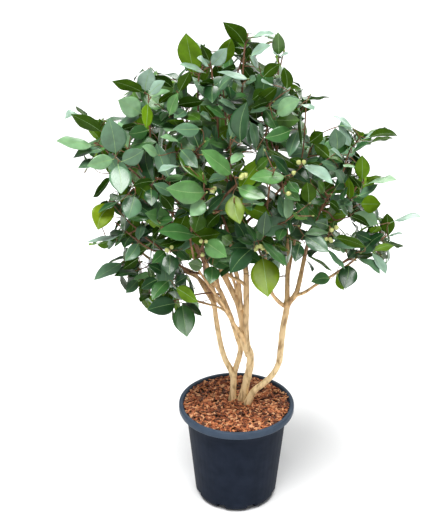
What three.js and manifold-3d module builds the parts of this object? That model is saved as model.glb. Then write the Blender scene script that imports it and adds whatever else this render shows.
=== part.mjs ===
import * as THREE from 'three';
import { mergeVertices } from 'three/addons/utils/BufferGeometryUtils.js';
import Module from 'manifold-3d';

// A camellia shrub in a round pot: three stems, their boughs, sprays of leaves, pot and soil.
// Millimetres, +Z up. The origin is at the centre of the pot's flat underside, +X is to the
// right of the front and +Y to the back.

const wasm = await Module();
wasm.setup();

// ---- driving dimensions -------------------------------------------------------------------

const GAP = 0.35;                  // clear space between neighbouring pieces
const WALL_GAP = 0.8;              // the same, level, between the soil and the pot's sloping wall

const POT_SEGMENTS = 48;
const POT_HEIGHT = 330;
const POT_FOOT_RADIUS = 119;
const POT_WALL = 3.6;
const POT_FLOOR = 6;
const HEEL = { z: 16, radius: 132 };            // where the foot's slope meets the wall
const BAND = { z: 294, step: 3, radius: 158.5 };  // small step out near the top of the wall
const LIP = { z: 308, radius: 182, round: 3, inner: 169 };
const NOTCH = { count: 8, width: 34, height: 10, floorRadius: 114 };

const SOIL_TOP = 321;
const SOIL_FLAT_RADIUS = 62;       // level ground that the stems stand on
const SOIL_EDGE_DROP = 4;

const RING_STEP = 34;              // length of a facet along a limb
const SLIVER = 0.04;               // facets that a cut leaves narrower than this are merged
const ROOT_FLARE = 1.3;
const TWIG = { start: 3.2, hub: 2.2, end: 1.8 };   // radii of the three-sided twigs
const BUD_RADIUS = 5.5;

const NODE = { first: 5, height: 5, shortest: 24 };   // where things grow on a twig, in mm along it
const LEAF = { shortest: 88, longest: 118, least: 62, slender: 0.5, broad: 0.64 };
const LEAF_ARCH = 0.035;           // rise of the blade's edges at its shoulder, by its length
const LEAF_DROOP = 0.07;           // fall of its tip
const LEAD_LENGTH = 112;           // length of a leading leaf that stands on a twig of its own,
const LEAD_LONGEST = 138;          // as one does that reaches further than this
const LEAD_TRIES = 7;              // sites that it may grow from, and sizes that it may have
const LEAD_SIZES = [1, 0.9, 0.8, 0.7];
const ROOT_SQUARE = 0.3;           // least cosine between a root's way and its facet's normal
const TRIES = 40;                  // tries for each leaf before it is left out
const FACING = { out: 0.75, up: 0.5, scatter: 0.8, front: 0.7 };

const CROWN_HEART = [-10, 20, 930];   // leaves face away from here
const CROWN_TOP = 1491;
const LEAF_CLEAR = 3;              // from limbs and from other sprays' twigs
const OVERREACH = 1.12;            // a leaf's tip lies within this many reaches of the hub
const SPACE_MARGIN = 1.2;          // from the walls of a spray's own space

const COLOURS = {
  pot: 0x28323e, soil: 0x6a3f2a, paleBark: 0xc9a26a, brownBark: 0x9a6a42,
  leaves: [0x3d6b35, 0x4a7a3c, 0x35603a, 0x56803a, 0x41735a],
};

// Limbs: the first point is [x, y] on the soil, or the limb that carries this one and how far
// along it; then the points that the limb bends through, and its radii at both ends.
const LIMBS = {
  left_stem: { foot: [-12, 22], through: [[-11, 20, 410], [-36, 22, 470], [-50, 25, 520],
    [-63, 28, 600], [-70, 32, 659]], radii: [10, 7.2] },
  middle_stem: { foot: [19, 17], through: [[32, 12, 400], [41, 5, 450], [41, 0, 500], [31, -5, 535],
    [26, -8, 600], [27, -10, 690], [25, -8, 779]], radii: [13, 8.4] },
  right_foot: { foot: [34, -3], through: [[54, -10, 373], [79, -18, 402], [103, -26, 432],
    [119, -32, 463], [129, -36, 493]], radii: [10.5, 8.4] },
  right_stem: { from: ['right_foot', 1], through: [[133, -38, 540], [136, -38, 610],
    [143, -36, 663], [145, -34, 690]], radii: [8.8, 7.6] },
  inner_stem: { from: ['left_stem', 0.2], through: [[8, 34, 469], [12, 38, 503], [0, 38, 544],
    [-22, 24, 625], [-49, 0, 707], [-64, -12, 740]], radii: [9, 6.6] },
  leader: { from: ['middle_stem', 1], through: [[15, 0, 846], [-3, 5, 907], [-18, 10, 1027],
    [-30, 10, 1144], [-26, 8, 1250]], radii: [8, 3.2] },
  left_bough: { from: ['left_stem', 1], through: [[-90, 36, 688], [-128, 55, 728], [-180, 66, 752],
    [-262, 66, 790], [-320, 56, 850]], radii: [6.8, 3] },
  left_rear_bough: { from: ['left_stem', 0.94], through: [[-86, 66, 705], [-98, 110, 769],
    [-120, 150, 852], [-140, 190, 940], [-150, 220, 1010]], radii: [6.2, 2.8] },
  left_front_bough: { from: ['inner_stem', 1], through: [[-95, -50, 829], [-135, -100, 931],
    [-190, -118, 1010], [-245, -100, 1070]], radii: [6.2, 2.8] },
  front_left_bough: { from: ['middle_stem', 0.44], through: [[18, -15, 569], [4, -20, 592],
    [-13, -24, 623], [-44, -44, 693], [-84, -78, 768], [-118, -122, 848], [-130, -175, 930]],
    radii: [6.2, 2.8] },
  rear_bough: { from: ['middle_stem', 0.72], through: [[8, 10, 660], [-19, 55, 698],
    [-40, 100, 750], [-48, 150, 830], [-46, 200, 915]], radii: [6.4, 2.8] },
  right_inner_bough: { from: ['right_stem', 0.9], through: [[130, -47, 693], [100, -72, 738],
    [82, -88, 799], [76, -98, 870], [74, -118, 940]], radii: [5.6, 2.8] },
  right_leader: { from: ['right_stem', 1], through: [[149, -18, 744], [151, 8, 801],
    [148, 35, 870], [136, 52, 955], [112, 52, 1100], [104, 45, 1190]], radii: [6.8, 2.8] },
  right_bough: { from: ['right_stem', 0.97], through: [[171, -40, 718], [184, -28, 752],
    [210, 10, 849], [238, 36, 941], [278, 40, 1020], [305, 32, 1085]], radii: [6.6, 2.8] },
  right_low_bough: { from: ['right_bough', 0.16], through: [[196, -52, 734], [230, -57, 762],
    [275, -55, 790], [320, -50, 822], [345, -40, 840]], radii: [5.4, 2.8] },
  left_high_bough: { from: ['leader', 0.62], through: [[-60, 12, 1090], [-115, 15, 1150],
    [-165, 10, 1205]], radii: [4, 2.6] },
  right_rear_bough: { from: ['right_leader', 0.2], through: [[168, 60, 830], [188, 125, 890],
    [205, 175, 950]], radii: [4.4, 2.8] },
};

// Sprays of leaves: the limb that carries each and how far along it, the hub that its twigs fan
// out from, its reach, the number of twigs, leaves and flower buds that the rule gives it, and
// its leading leaves: bearing and rise in degrees, distance from hub to tip, and width.
const SPRAYS = {
  top_spray: ['leader', 1, [12, 0, 1412], 104, 2, 8, 0,
    [-170, 40, 95, 40], [15, 10, 95, 25], [-30, 0, 90, 45], [140, 35, 80, 50]],
  top_left_spray: ['leader', 0.86, [-76, 30, 1367], 105, 2, 10, 0,
    [180, 50, 120, 60], [-15, 50, 75, 40], [-150, 10, 100, 30], [-25, -15, 100, 35]],
  top_right_spray: ['right_leader', 1, [110, 20, 1366], 98, 2, 9, 0,
    [180, 84, 88, 38], [-10, -40, 100, 28], [-60, -50, 95, 42], [-145, -15, 95, 52]],
  upper_left_spray: ['left_high_bough', 1, [-250, 0, 1290], 100, 2, 10, 0,
    [175, 20, 115, 38], [-20, 68, 90, 55], [-20, 30, 85, 42], [-145, -5, 105, 62], [-90, -60, 100, 34]],
  left_tip_spray: ['left_front_bough', 1, [-341, -20, 1133], 120, 3, 10, 0,
    [-135, 80, 125, 66], [170, 10, 175, 42], [160, 35, 185, 36], [-160, -10, 120, 50],
    [-25, 20, 100, 45], [-65, -62, 105, 55]],
  left_mid_spray: ['left_bough', 1, [-313, 40, 999], 110, 2, 10, 0,
    [175, 0, 112, 28], [-170, -42, 130, 62], [-95, -50, 90, 42], [165, -20, 118, 32]],
  left_low_spray: ['left_bough', 0.92, [-290, 40, 862], 96, 2, 10, 0,
    [175, -5, 148, 30], [-165, -20, 88, 26], [-120, -50, 88, 36], [165, 24, 92, 36]],
  left_bottom_spray: ['left_bough', 0.76, [-272, 40, 775], 100, 2, 9, 0,
    [-175, -16, 158, 44], [-155, -12, 105, 34], [-150, -50, 100, 30]],
  bottom_left_spray: ['left_bough', 0.5, [-195, 10, 742], 105, 2, 10, 0,
    [-165, -45, 122, 66], [-95, 42, 95, 55], [170, -30, 118, 36], [-130, -15, 92, 45]],
  hanging_spray: ['inner_stem', 0.78, [-166, -58, 716], 90, 1, 7, 0,
    [-30, -80, 122, 64], [0, -42, 90, 34], [-60, 10, 88, 48]],
  right_top_spray: ['right_leader', 0.85, [172, 10, 1258], 98, 2, 10, 3,
    [5, 10, 92, 24], [-40, -12, 70, 28], [-150, -5, 110, 62], [-90, -62, 124, 24]],
  right_high_spray: ['right_bough', 1, [322, 10, 1155], 100, 2, 11, 0,
    [165, 45, 98, 28], [5, 2, 120, 36], [-30, 10, 122, 30], [-160, -10, 95, 55], [20, -30, 100, 42]],
  right_mid_spray: ['right_bough', 0.86, [325, -20, 1076], 100, 2, 10, 0,
    [-45, -40, 88, 46], [5, -15, 130, 28], [-25, 15, 90, 42], [-125, -50, 92, 36]],
  right_mid_low_spray: ['right_bough', 0.7, [318, -20, 983], 100, 2, 10, 0,
    [-5, 10, 98, 60], [-30, -25, 98, 45], [-160, 30, 90, 42]],
  right_tip_spray: ['right_low_bough', 1, [400, -15, 872], 98, 2, 9, 0,
    [15, 30, 145, 34], [-50, 78, 96, 44], [-15, -5, 98, 30], [-160, 8, 112, 42], [-70, -50, 98, 32],
    [30, 8, 100, 28]],
  right_low_spray: ['right_low_bough', 0.8, [312, -110, 864], 98, 2, 8, 3,
    [-120, -66, 94, 46], [-15, -60, 90, 58], [-5, -15, 104, 32], [175, -32, 120, 42]],
  right_inner_low_spray: ['right_bough', 0.44, [205, -60, 905], 100, 2, 11, 0,
    [-70, -55, 98, 46]],
  centre_low_spray: ['right_inner_bough', 0.76, [52, -178, 918], 108, 2, 8, 4,
    [-45, -76, 138, 76], [-20, -25, 112, 42], [-155, -15, 112, 66]],
  centre_left_low_spray: ['front_left_bough', 0.86, [-85, -120, 925], 105, 3, 9, 0,
    [65, -75, 128, 50], [-35, -15, 98, 55], [-175, -28, 98, 45]],
  front_left_low_spray: ['left_front_bough', 0.5, [-195, -150, 985], 112, 3, 11, 2,
    [-20, -10, 112, 56], [-100, -60, 98, 48]],
  front_left_spray: ['left_front_bough', 0.8, [-268, -148, 1150], 112, 3, 12, 0],
  front_high_left_spray: ['left_high_bough', 0.55, [-140, -120, 1265], 112, 3, 13, 0],
  front_mid_left_spray: ['front_left_bough', 1, [-92, -250, 1105], 118, 3, 12, 2,
    [175, 5, 124, 60], [-70, -55, 108, 56]],
  front_left_upper_spray: ['left_high_bough', 0.25, [-110, -200, 1180], 112, 3, 12, 0,
    [-175, 15, 112, 56]],
  front_centre_spray: ['leader', 0.28, [-15, -262, 1075], 122, 3, 11, 5,
    [-30, 10, 112, 58], [-70, -62, 108, 60]],
  front_upper_spray: ['leader', 0.5, [-25, -215, 1195], 115, 3, 12, 0,
    [175, 30, 118, 56], [-60, -60, 114, 66]],
  front_top_spray: ['leader', 0.74, [-40, -130, 1300], 112, 3, 12, 0, [-60, -55, 108, 60]],
  front_right_top_spray: ['right_leader', 0.75, [55, -140, 1285], 108, 3, 12, 0, [10, 5, 110, 60]],
  front_right_spray: ['right_inner_bough', 1, [75, -250, 1130], 118, 3, 12, 3, [-10, -5, 115, 56]],
  front_right_low_spray: ['right_inner_bough', 0.92, [118, -222, 1015], 122, 3, 12, 0],
  front_right_upper_spray: ['right_leader', 0.6, [175, -160, 1175], 115, 3, 12, 2,
    [-20, -35, 118, 50], [-150, -50, 108, 60]],
  right_front_spray: ['right_bough', 0.66, [225, -160, 1050], 112, 3, 12, 0],
  rear_left_spray: ['left_rear_bough', 1, [-225, 215, 1110], 122, 4, 15, 0],
  rear_left_low_spray: ['left_rear_bough', 0.7, [-210, 235, 935], 112, 3, 13, 0],
  rear_high_left_spray: ['left_high_bough', 0.85, [-120, 170, 1255], 120, 3, 14, 0],
  rear_high_spray: ['leader', 0.84, [25, 175, 1290], 120, 3, 14, 0],
  rear_high_right_spray: ['right_leader', 0.84, [165, 190, 1200], 122, 4, 14, 0],
  rear_mid_spray: ['rear_bough', 1, [10, 300, 1110], 128, 4, 15, 0],
  rear_low_spray: ['rear_bough', 0.82, [-40, 290, 940], 118, 4, 14, 0],
  rear_right_spray: ['right_rear_bough', 1, [225, 235, 1035], 125, 4, 14, 0],
  left_inner_low_spray: ['left_rear_bough', 0.3, [-88, 20, 815], 108, 3, 11, 0],
};

// ---- small tools --------------------------------------------------------------------------

const UP = new THREE.Vector3(0, 0, 1);
const V = (p) => new THREE.Vector3(p[0], p[1], p[2]);
const mix = (a, b, t) => a + (b - a) * t;
const radians = (degrees) => degrees * Math.PI / 180;
const along = (a, b, t) => a.clone().lerp(b, t);
const moved = (p, direction, distance) => p.clone().addScaledVector(direction, distance);

// Numbers from 0 to 1, the same for every run from one seed.
function seeded(seed) {
  let state = seed;
  return () => {
    state = (state * 1664525 + 1013904223) % 4294967296;
    return state / 4294967296;
  };
}

// A unit vector at right angles to direction, as near to wanted as that allows.
function squared(wanted, direction) {
  const v = moved(wanted, direction, -wanted.dot(direction));
  if (v.length() < 0.05) {
    v.crossVectors(direction, Math.abs(direction.z) < 0.9 ? UP : new THREE.Vector3(1, 0, 0));
  }
  return v.normalize();
}

function solid(vertices, triangles) {
  return new wasm.Manifold(new wasm.Mesh({
    numProp: 3,
    vertProperties: Float32Array.from(vertices.flatMap((v) => [v.x, v.y, v.z])),
    triVerts: Uint32Array.from(triangles.flat()),
  }));
}

function solidOf(geometry) {
  geometry.deleteAttribute('normal');
  geometry.deleteAttribute('uv');
  const merged = mergeVertices(geometry, 1e-4);
  return new wasm.Manifold(new wasm.Mesh({
    numProp: 3,
    vertProperties: Float32Array.from(merged.attributes.position.array),
    triVerts: Uint32Array.from(merged.index.array),
  }));
}

function geometryOf(manifold) {
  const mesh = manifold.getMesh();
  const geometry = new THREE.BufferGeometry();
  geometry.setAttribute('position', new THREE.BufferAttribute(mesh.vertProperties, 3));
  geometry.setIndex(new THREE.BufferAttribute(mesh.triVerts, 1));
  return geometry;
}

// The largest of the bodies that a cut leaves.
function whole(manifold) {
  const bodies = manifold.decompose();
  return bodies.reduce((a, b) => (a.volume() > b.volume() ? a : b));
}

// A tube with flat ends through the points, its rings turned with the bends. The first ring of a
// level one lies flat on the ground.
function tube(points, radii, sides, level) {
  const vertices = [];
  const triangles = [];
  let side = null;
  points.forEach((p, i) => {
    const before = points[Math.max(i - 1, 0)];
    const after = points[Math.min(i + 1, points.length - 1)];
    const direction = level && i === 0 ? UP.clone() : after.clone().sub(before).normalize();
    side = squared(side || new THREE.Vector3(1, 0, 0), direction);
    const other = direction.clone().cross(side);
    for (let k = 0; k < sides; k += 1) {
      const turn = 2 * Math.PI * k / sides;
      vertices.push(moved(moved(p, side, radii[i] * Math.cos(turn)), other, radii[i] * Math.sin(turn)));
    }
  });
  const last = (points.length - 1) * sides;
  for (let i = 0; i < last; i += sides) {
    for (let k = 0; k < sides; k += 1) {
      const next = (k + 1) % sides;
      triangles.push([i + k, i + next, i + sides + next], [i + k, i + sides + next, i + sides + k]);
    }
  }
  for (let k = 1; k < sides - 1; k += 1) {
    triangles.push([0, k + 1, k], [last, last + k, last + k + 1]);
  }
  return solid(vertices, triangles);
}

// ---- pot and soil -------------------------------------------------------------------------

function lathe(profile) {
  const points = profile.map(([radius, z]) => new THREE.Vector2(radius, z));
  return solidOf(new THREE.LatheGeometry(points, POT_SEGMENTS).rotateX(Math.PI / 2));
}

const innerHeel = [HEEL.radius - POT_WALL, HEEL.z + POT_FLOOR];
const innerFloor = [NOTCH.floorRadius - 12, POT_FLOOR];
const innerBand = [BAND.radius - POT_WALL, BAND.z];

function makePot() {
  const shell = lathe([
    [0, 0], [POT_FOOT_RADIUS, 0], [HEEL.radius, HEEL.z], [BAND.radius, BAND.z],
    [BAND.radius + BAND.step, BAND.z + 4], [BAND.radius + BAND.step + 1.5, LIP.z],
    [LIP.radius - LIP.round, LIP.z], [LIP.radius, LIP.z + LIP.round],
    [LIP.radius, POT_HEIGHT - LIP.round], [LIP.radius - LIP.round, POT_HEIGHT],
    [LIP.inner + 2, POT_HEIGHT], [LIP.inner, POT_HEIGHT - 3],
    innerBand, innerHeel, innerFloor, [0, POT_FLOOR],
  ]);
  let pot = shell;
  for (let i = 0; i < NOTCH.count; i += 1) {
    const cutter = new THREE.BoxGeometry(40, NOTCH.width, 2 * NOTCH.height);
    cutter.translate(NOTCH.floorRadius + 20, 0, 0);
    cutter.rotateZ(2 * Math.PI * (i + 0.5) / NOTCH.count);
    pot = pot.subtract(solidOf(cutter));
  }
  return pot;
}

function makeSoil() {
  const edge = SOIL_TOP - SOIL_EDGE_DROP;
  const rise = (edge - BAND.z) / (POT_HEIGHT - 3 - BAND.z);
  const wall = mix(innerBand[0], LIP.inner, rise) - WALL_GAP;
  return lathe([
    [0, POT_FLOOR + GAP], [innerFloor[0] - WALL_GAP, POT_FLOOR + GAP],
    [innerHeel[0] - WALL_GAP, innerHeel[1]], [innerBand[0] - WALL_GAP, BAND.z], [wall, edge],
    [115, SOIL_TOP - 2], [SOIL_FLAT_RADIUS, SOIL_TOP], [0, SOIL_TOP],
  ]);
}

// ---- limbs --------------------------------------------------------------------------------

const limbs = {};

function layLimb(name, { foot, from, through, radii }) {
  const start = foot ? new THREE.Vector3(foot[0], foot[1], SOIL_TOP + GAP)
    : limbs[from[0]].curve.getPoint(from[1]);
  const curve = new THREE.CatmullRomCurve3([start, ...through.map(V)], false, 'catmullrom', 0.5);
  const steps = Math.max(3, Math.round(curve.getLength() / RING_STEP));
  const points = [];
  const sizes = [];
  for (let i = 0; i <= steps; i += 1) {
    points.push(curve.getPoint(i / steps));
    sizes.push(mix(radii[0], radii[1], i / steps) * (foot && i === 0 ? ROOT_FLARE : 1));
  }
  limbs[name] = { curve, points, sizes, sides: radii[0] > 6.5 ? 8 : 6, level: Boolean(foot) };
}

// The limb, or the same limb grown by the gap on all sides to cut its neighbours with.
function limbSolid({ points, sizes, sides, level }, grown) {
  if (!grown) return tube(points, sizes, sides, level);
  const out = points.map((p) => p.clone());
  const last = out.length - 1;
  out[0].add(points[0].clone().sub(points[1]).setLength(GAP));
  out[last].add(points[last].clone().sub(points[last - 1]).setLength(GAP));
  return tube(out, sizes.map((r) => r + GAP / Math.cos(Math.PI / sides)), sides, level);
}

function near(a, b) {
  const p = a.boundingBox();
  const q = b.boundingBox();
  return [0, 1, 2].every((k) => p.min[k] < q.max[k] && q.min[k] < p.max[k]);
}

function cutClear(body, cutters) {
  const left = cutters.filter((cutter) => near(body, cutter))
    .reduce((rest, cutter) => rest.subtract(cutter), body);
  return whole(left).simplify(SLIVER);
}

// ---- the rule that grows a spray ----------------------------------------------------------

const sprays = Object.entries(SPRAYS).map(([name, row], index) => {
  const [limb, at, hub, reach, twigs, leaves, buds, ...lead] = row;
  return { name, limb, at, hub: V(hub), reach, twigs, leaves, buds, lead, seed: 1000 + 77 * index };
});

// Each spray keeps to the points that lie nearer to its hub than to the other hubs, by reach.
function inOwnSpace(spray, p) {
  const own = p.distanceToSquared(spray.hub) - spray.reach ** 2;
  return p.z < CROWN_TOP && sprays.every((other) => {
    if (other === spray) return true;
    const apart = spray.hub.distanceTo(other.hub);
    return own < p.distanceToSquared(other.hub) - other.reach ** 2 - 2 * SPACE_MARGIN * apart;
  });
}

// The spray's stem leaves its limb along the limb and bends to the hub.
function layStem(spray) {
  const { curve } = limbs[spray.limb];
  const start = curve.getPoint(spray.at);
  const distance = start.distanceTo(spray.hub);
  const bend = moved(start, curve.getTangent(spray.at), distance * 0.35);
  const arc = new THREE.QuadraticBezierCurve3(start, bend, spray.hub);
  const steps = Math.max(2, Math.round(distance / 60));
  spray.stem = arc.getPoints(steps);
  spray.stemSizes = spray.stem.map((p, i) => mix(TWIG.start, TWIG.hub, i / steps));
  spray.stemBeads = beads(spray.stem, spray.stemSizes, 5);
}

function beads(points, sizes, step) {
  const out = [];
  for (let i = 0; i < points.length - 1; i += 1) {
    const count = Math.ceil(points[i].distanceTo(points[i + 1]) / step);
    for (let k = 0; k <= count; k += 1) {
      out.push({ p: along(points[i], points[i + 1], k / count), r: mix(sizes[i], sizes[i + 1], k / count) });
    }
  }
  return out;
}

// Points on a blade: [along, across, up] by length, half width and length.
const BLADE = {
  shoulder: [0.27, 0.9, LEAF_ARCH], flank: [0.64, 0.86, LEAF_ARCH * 0.4],
  keel: [0.3, 0, -0.025], tip: [1, 0, -LEAF_DROOP],
};

// Half the blade's width at a distance along it, by half its greatest width.
function spread(s) {
  const { shoulder, flank } = BLADE;
  if (s < shoulder[0]) return Math.max(s, 0) / shoulder[0] * shoulder[1];
  return s < flank[0] ? shoulder[1] : Math.max(1 - s, 0) / (1 - flank[0]) * flank[1];
}

// Whether a bead comes nearer than the clear space to a leaf's blade.
function touches(leaf, bead) {
  const d = bead.p.clone().sub(leaf.base);
  const s = d.dot(leaf.direction);
  const room = bead.r + LEAF_CLEAR;
  return s > -room && s < leaf.length + room
    && Math.abs(d.dot(leaf.side)) < spread(s / leaf.length) * leaf.width / 2 + room
    && Math.abs(d.dot(leaf.normal)) < room + LEAF_DROOP * leaf.length * 0.5;
}

const at = (leaf, s, w, h) => leaf.base.clone().addScaledVector(leaf.direction, s * leaf.length)
  .addScaledVector(leaf.side, w * leaf.width / 2).addScaledVector(leaf.normal, h * leaf.length);

// The keel and both shoulders come first: they are the ring that the root widens to.
function bladePoints(leaf) {
  const { shoulder, flank, keel, tip } = BLADE;
  return [at(leaf, ...keel), at(leaf, ...shoulder), at(leaf, shoulder[0], -shoulder[1], shoulder[2]),
    at(leaf, ...flank), at(leaf, flank[0], -flank[1], flank[2]), at(leaf, ...tip)];
}
const BLADE_FACETS = [[1, 2, 4], [1, 4, 3], [3, 4, 5], [0, 1, 3], [0, 3, 5], [0, 5, 4], [0, 4, 2]];

// A spray is one body that grows facet by facet: a twig, leaf or bud takes the place of one
// three-cornered facet of the twig that carries it, so that it is fused on along its whole root.
const newBody = () => ({ points: [], facets: [] });

function put(body, points) {
  return points.map((p) => body.points.push(p) - 1);
}

const sidesBetween = (a, b) => [0, 1, 2].flatMap((k) => {
  const next = (k + 1) % 3;
  return [[a[k], a[next], b[next]], [a[k], b[next], b[k]]];
});

function ringAt(centre, direction, side, radius) {
  const other = direction.clone().cross(side);
  return [0, 1, 2].map((k) => moved(moved(centre, side, radius * Math.cos(2 * Math.PI * k / 3)),
    other, radius * Math.sin(2 * Math.PI * k / 3)));
}

// The points, then the facets, of a three-sided tube that grows out of the root's corners.
function twigShape(root, path, sizes) {
  const points = [...root];
  const facets = [];
  let ring = [0, 1, 2];
  let side = root[0].clone().sub(middle(root));
  path.forEach((p, i) => {
    const before = i ? path[i - 1] : middle(root);
    const after = path[Math.min(i + 1, path.length - 1)];
    const direction = after.clone().sub(before).normalize();
    side = squared(side, direction);
    const next = ringAt(p, direction, side, sizes[i]).map((q) => points.push(q) - 1);
    facets.push(...sidesBetween(ring, next));
    ring = next;
  });
  return { points, facets: [...facets, ring] };
}

function leafShape(root, leaf) {
  const blade = bladePoints(leaf);
  const turns = [[0, 1, 2], [1, 2, 0], [2, 0, 1]];
  const gap = (turn) => turn.reduce((sum, k, i) => sum + root[i].distanceTo(blade[k]), 0);
  const ring = turns.reduce((a, b) => (gap(a) <= gap(b) ? a : b));
  return {
    points: [...root, ...blade],
    facets: [...sidesBetween([0, 1, 2], ring.map((k) => k + 3)),
      ...BLADE_FACETS.map((facet) => facet.map((k) => k + 3))],
  };
}

function budShape(root, normal) {
  const centre = middle(root);
  const side = squared(root[0].clone().sub(centre), normal);
  const waist = ringAt(moved(centre, normal, BUD_RADIUS * 0.9), normal, side, BUD_RADIUS);
  return {
    points: [...root, ...waist, moved(centre, normal, BUD_RADIUS * 2)],
    facets: [...sidesBetween([0, 1, 2], [3, 4, 5]), [3, 4, 6], [4, 5, 6], [5, 3, 6]],
  };
}

// Puts a shape in the place of the facet that it grows out of, and returns its new facets.
function graft(body, root, shape) {
  const corners = body.facets[root];
  body.facets[root] = null;
  const index = [...corners, ...put(body, shape.points.slice(3))];
  return shape.facets.map((facet) => body.facets.push(facet.map((k) => index[k])) - 1);
}

function middle(points) {
  return points[0].clone().add(points[1]).add(points[2]).divideScalar(3);
}

function normalOf([a, b, c]) {
  return b.clone().sub(a).cross(c.clone().sub(a)).normalize();
}

// Whether the line from p to q passes through the three-cornered facet.
function pierces(p, q, [a, b, c]) {
  const line = q.clone().sub(p);
  const ab = b.clone().sub(a);
  const ac = c.clone().sub(a);
  const h = line.clone().cross(ac);
  const d = ab.dot(h);
  if (Math.abs(d) < 1e-9) return false;
  const s = p.clone().sub(a);
  const u = s.dot(h) / d;
  if (u < 0 || u > 1) return false;
  const cross = s.cross(ab);
  const v = line.dot(cross) / d;
  const t = ac.dot(cross) / d;
  return v >= 0 && u + v <= 1 && t >= 0 && t <= 1;
}

function boxesApart(f, g) {
  return ['x', 'y', 'z'].some((axis) => (
    Math.max(f[0][axis], f[1][axis], f[2][axis]) < Math.min(g[0][axis], g[1][axis], g[2][axis])
    || Math.max(g[0][axis], g[1][axis], g[2][axis]) < Math.min(f[0][axis], f[1][axis], f[2][axis])));
}

// Facets as corner numbers; at a corner that two facets share, only the far sides can cross.
function facetsCross(f, g, points) {
  const shared = f.filter((k) => g.includes(k));
  const a = f.map((k) => points[k]);
  const b = g.map((k) => points[k]);
  if (shared.length > 1 || boxesApart(a, b)) return false;
  const far = (facet, k) => !shared.includes(facet[k]) && !shared.includes(facet[(k + 1) % 3]);
  return [0, 1, 2].some((k) => (far(f, k) && pierces(a[k], a[(k + 1) % 3], b))
    || (far(g, k) && pierces(b[k], b[(k + 1) % 3], a)));
}

// Whether a shape would cross the body that it grows on.
function crossesBody(body, root, shape) {
  const count = body.points.length;
  const points = [...body.points, ...shape.points.slice(3)];
  const mine = shape.facets.map((facet) => facet.map((k) => (k < 3 ? body.facets[root][k] : count + k - 3)));
  return body.facets.some((facet, index) => (
    facet && index !== root && mine.some((f) => facetsCross(f, facet, points))));
}

function cornersOf(body, root) {
  return body.facets[root].map((k) => body.points[k]);
}

function leafFits(spray, site, leaf) {
  const points = bladePoints(leaf);
  return site.normal.dot(leaf.direction) > ROOT_SQUARE
    && points.every((p) => inOwnSpace(spray, p))
    && !spray.obstacles.some((bead) => touches(leaf, bead))
    && !crossesBody(spray.body, site.root, leafShape(cornersOf(spray.body, site.root), leaf));
}

function pathClear(spray, a, b) {
  return inOwnSpace(spray, b) && beads([a, b], [TWIG.hub, TWIG.end], 5).every(({ p, r }) => (
    spray.obstacles.every((o) => o.p.distanceTo(p) > o.r + r + LEAF_CLEAR)));
}

function makeLeaf(base, direction, facing, length, width) {
  const normal = squared(facing, direction);
  return { base, direction, normal, side: normal.clone().cross(direction), length, width };
}

// Blades turn their upper face up and out of the crown.
function facingAt(p, random) {
  const out = p.clone().sub(V(CROWN_HEART));
  out.z *= 0.5;
  out.setLength(FACING.out);
  out.z += FACING.up;
  return out.add(new THREE.Vector3(random() - 0.5, random() - 0.5, random() - 0.5)
    .multiplyScalar(FACING.scatter));
}

// Rings for a twig: two close together at each node, where things grow, and one at its end.
function twigRings(start, direction, length, nodes) {
  const distances = [];
  for (let i = 0; i < nodes; i += 1) {
    const d = NODE.first + (length - NODE.first - NODE.height - 6) * i / Math.max(nodes - 1, 1);
    distances.push(d, d + NODE.height);
  }
  distances.push(length);
  return {
    path: distances.map((d) => moved(start, direction, d)),
    sizes: distances.map((d) => mix(TWIG.hub, TWIG.end, d / length)),
  };
}

// Opens the sites of a new twig, the facets that things may grow out of: three at each node, and
// the twig's end.
function openSites(spray, facets, skip, nodes, direction) {
  const open = (root, level, end) => {
    const corners = cornersOf(spray.body, root);
    spray.sites.push({ root, centre: middle(corners), normal: normalOf(corners), direction, level, end });
  };
  for (let i = 0; i < nodes; i += 1) {
    const first = 6 * (skip + 1 + 2 * i);
    [0, 2, 4].forEach((k) => open(facets[first + k], i / nodes, false));
  }
  open(facets[facets.length - 1], 1, true);
}

// The way that a spray points: on along its stem, out of the crown and up.
function aim(spray) {
  const axis = spray.hub.clone().sub(spray.stem[spray.stem.length - 2]).setLength(0.6);
  return axis.add(spray.hub.clone().sub(V(CROWN_HEART)).setLength(0.5)).addScaledVector(UP, 0.3).normalize();
}

// The stem runs on through the hub as the main twig, shorter where it would meet something.
function growMainTwig(spray, random) {
  const { body, stem, stemSizes, hub } = spray;
  const direction = aim(spray).add(new THREE.Vector3(random() - 0.5, random() - 0.5, 0)
    .multiplyScalar(0.3)).normalize();
  let length = Math.max(spray.reach - mix(66, 52, random()), NODE.shortest);
  while (length > NODE.shortest && !pathClear(spray, hub, moved(hub, direction, length))) length -= 4;
  const nodes = length > 44 ? 3 : 2;
  const first = ringAt(stem[0], stem[1].clone().sub(stem[0]).normalize(),
    squared(UP, stem[1].clone().sub(stem[0]).normalize()), stemSizes[0]);
  const ends = put(body, first);
  body.facets.push([ends[0], ends[2], ends[1]], [...ends]);
  const rings = twigRings(hub, direction, length, nodes);
  const shape = twigShape(first, [...stem.slice(1), ...rings.path], [...stemSizes.slice(1), ...rings.sizes]);
  const facets = graft(body, 1, shape);
  openSites(spray, facets, stem.length - 1, nodes, direction);
}

function takeSite(spray, site) {
  spray.sites = spray.sites.filter((other) => other !== site);
}

// A side twig out of a site, if it is clear.
function addTwig(spray, site, direction, length, nodes) {
  const rings = twigRings(site.centre, direction, length, nodes);
  const shape = twigShape(cornersOf(spray.body, site.root), rings.path, rings.sizes);
  if (site.normal.dot(direction) < ROOT_SQUARE
    || !pathClear(spray, site.centre, rings.path[rings.path.length - 1])
    || crossesBody(spray.body, site.root, shape)) return false;
  takeSite(spray, site);
  openSites(spray, graft(spray.body, site.root, shape), 0, nodes, direction);
  return true;
}

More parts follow.
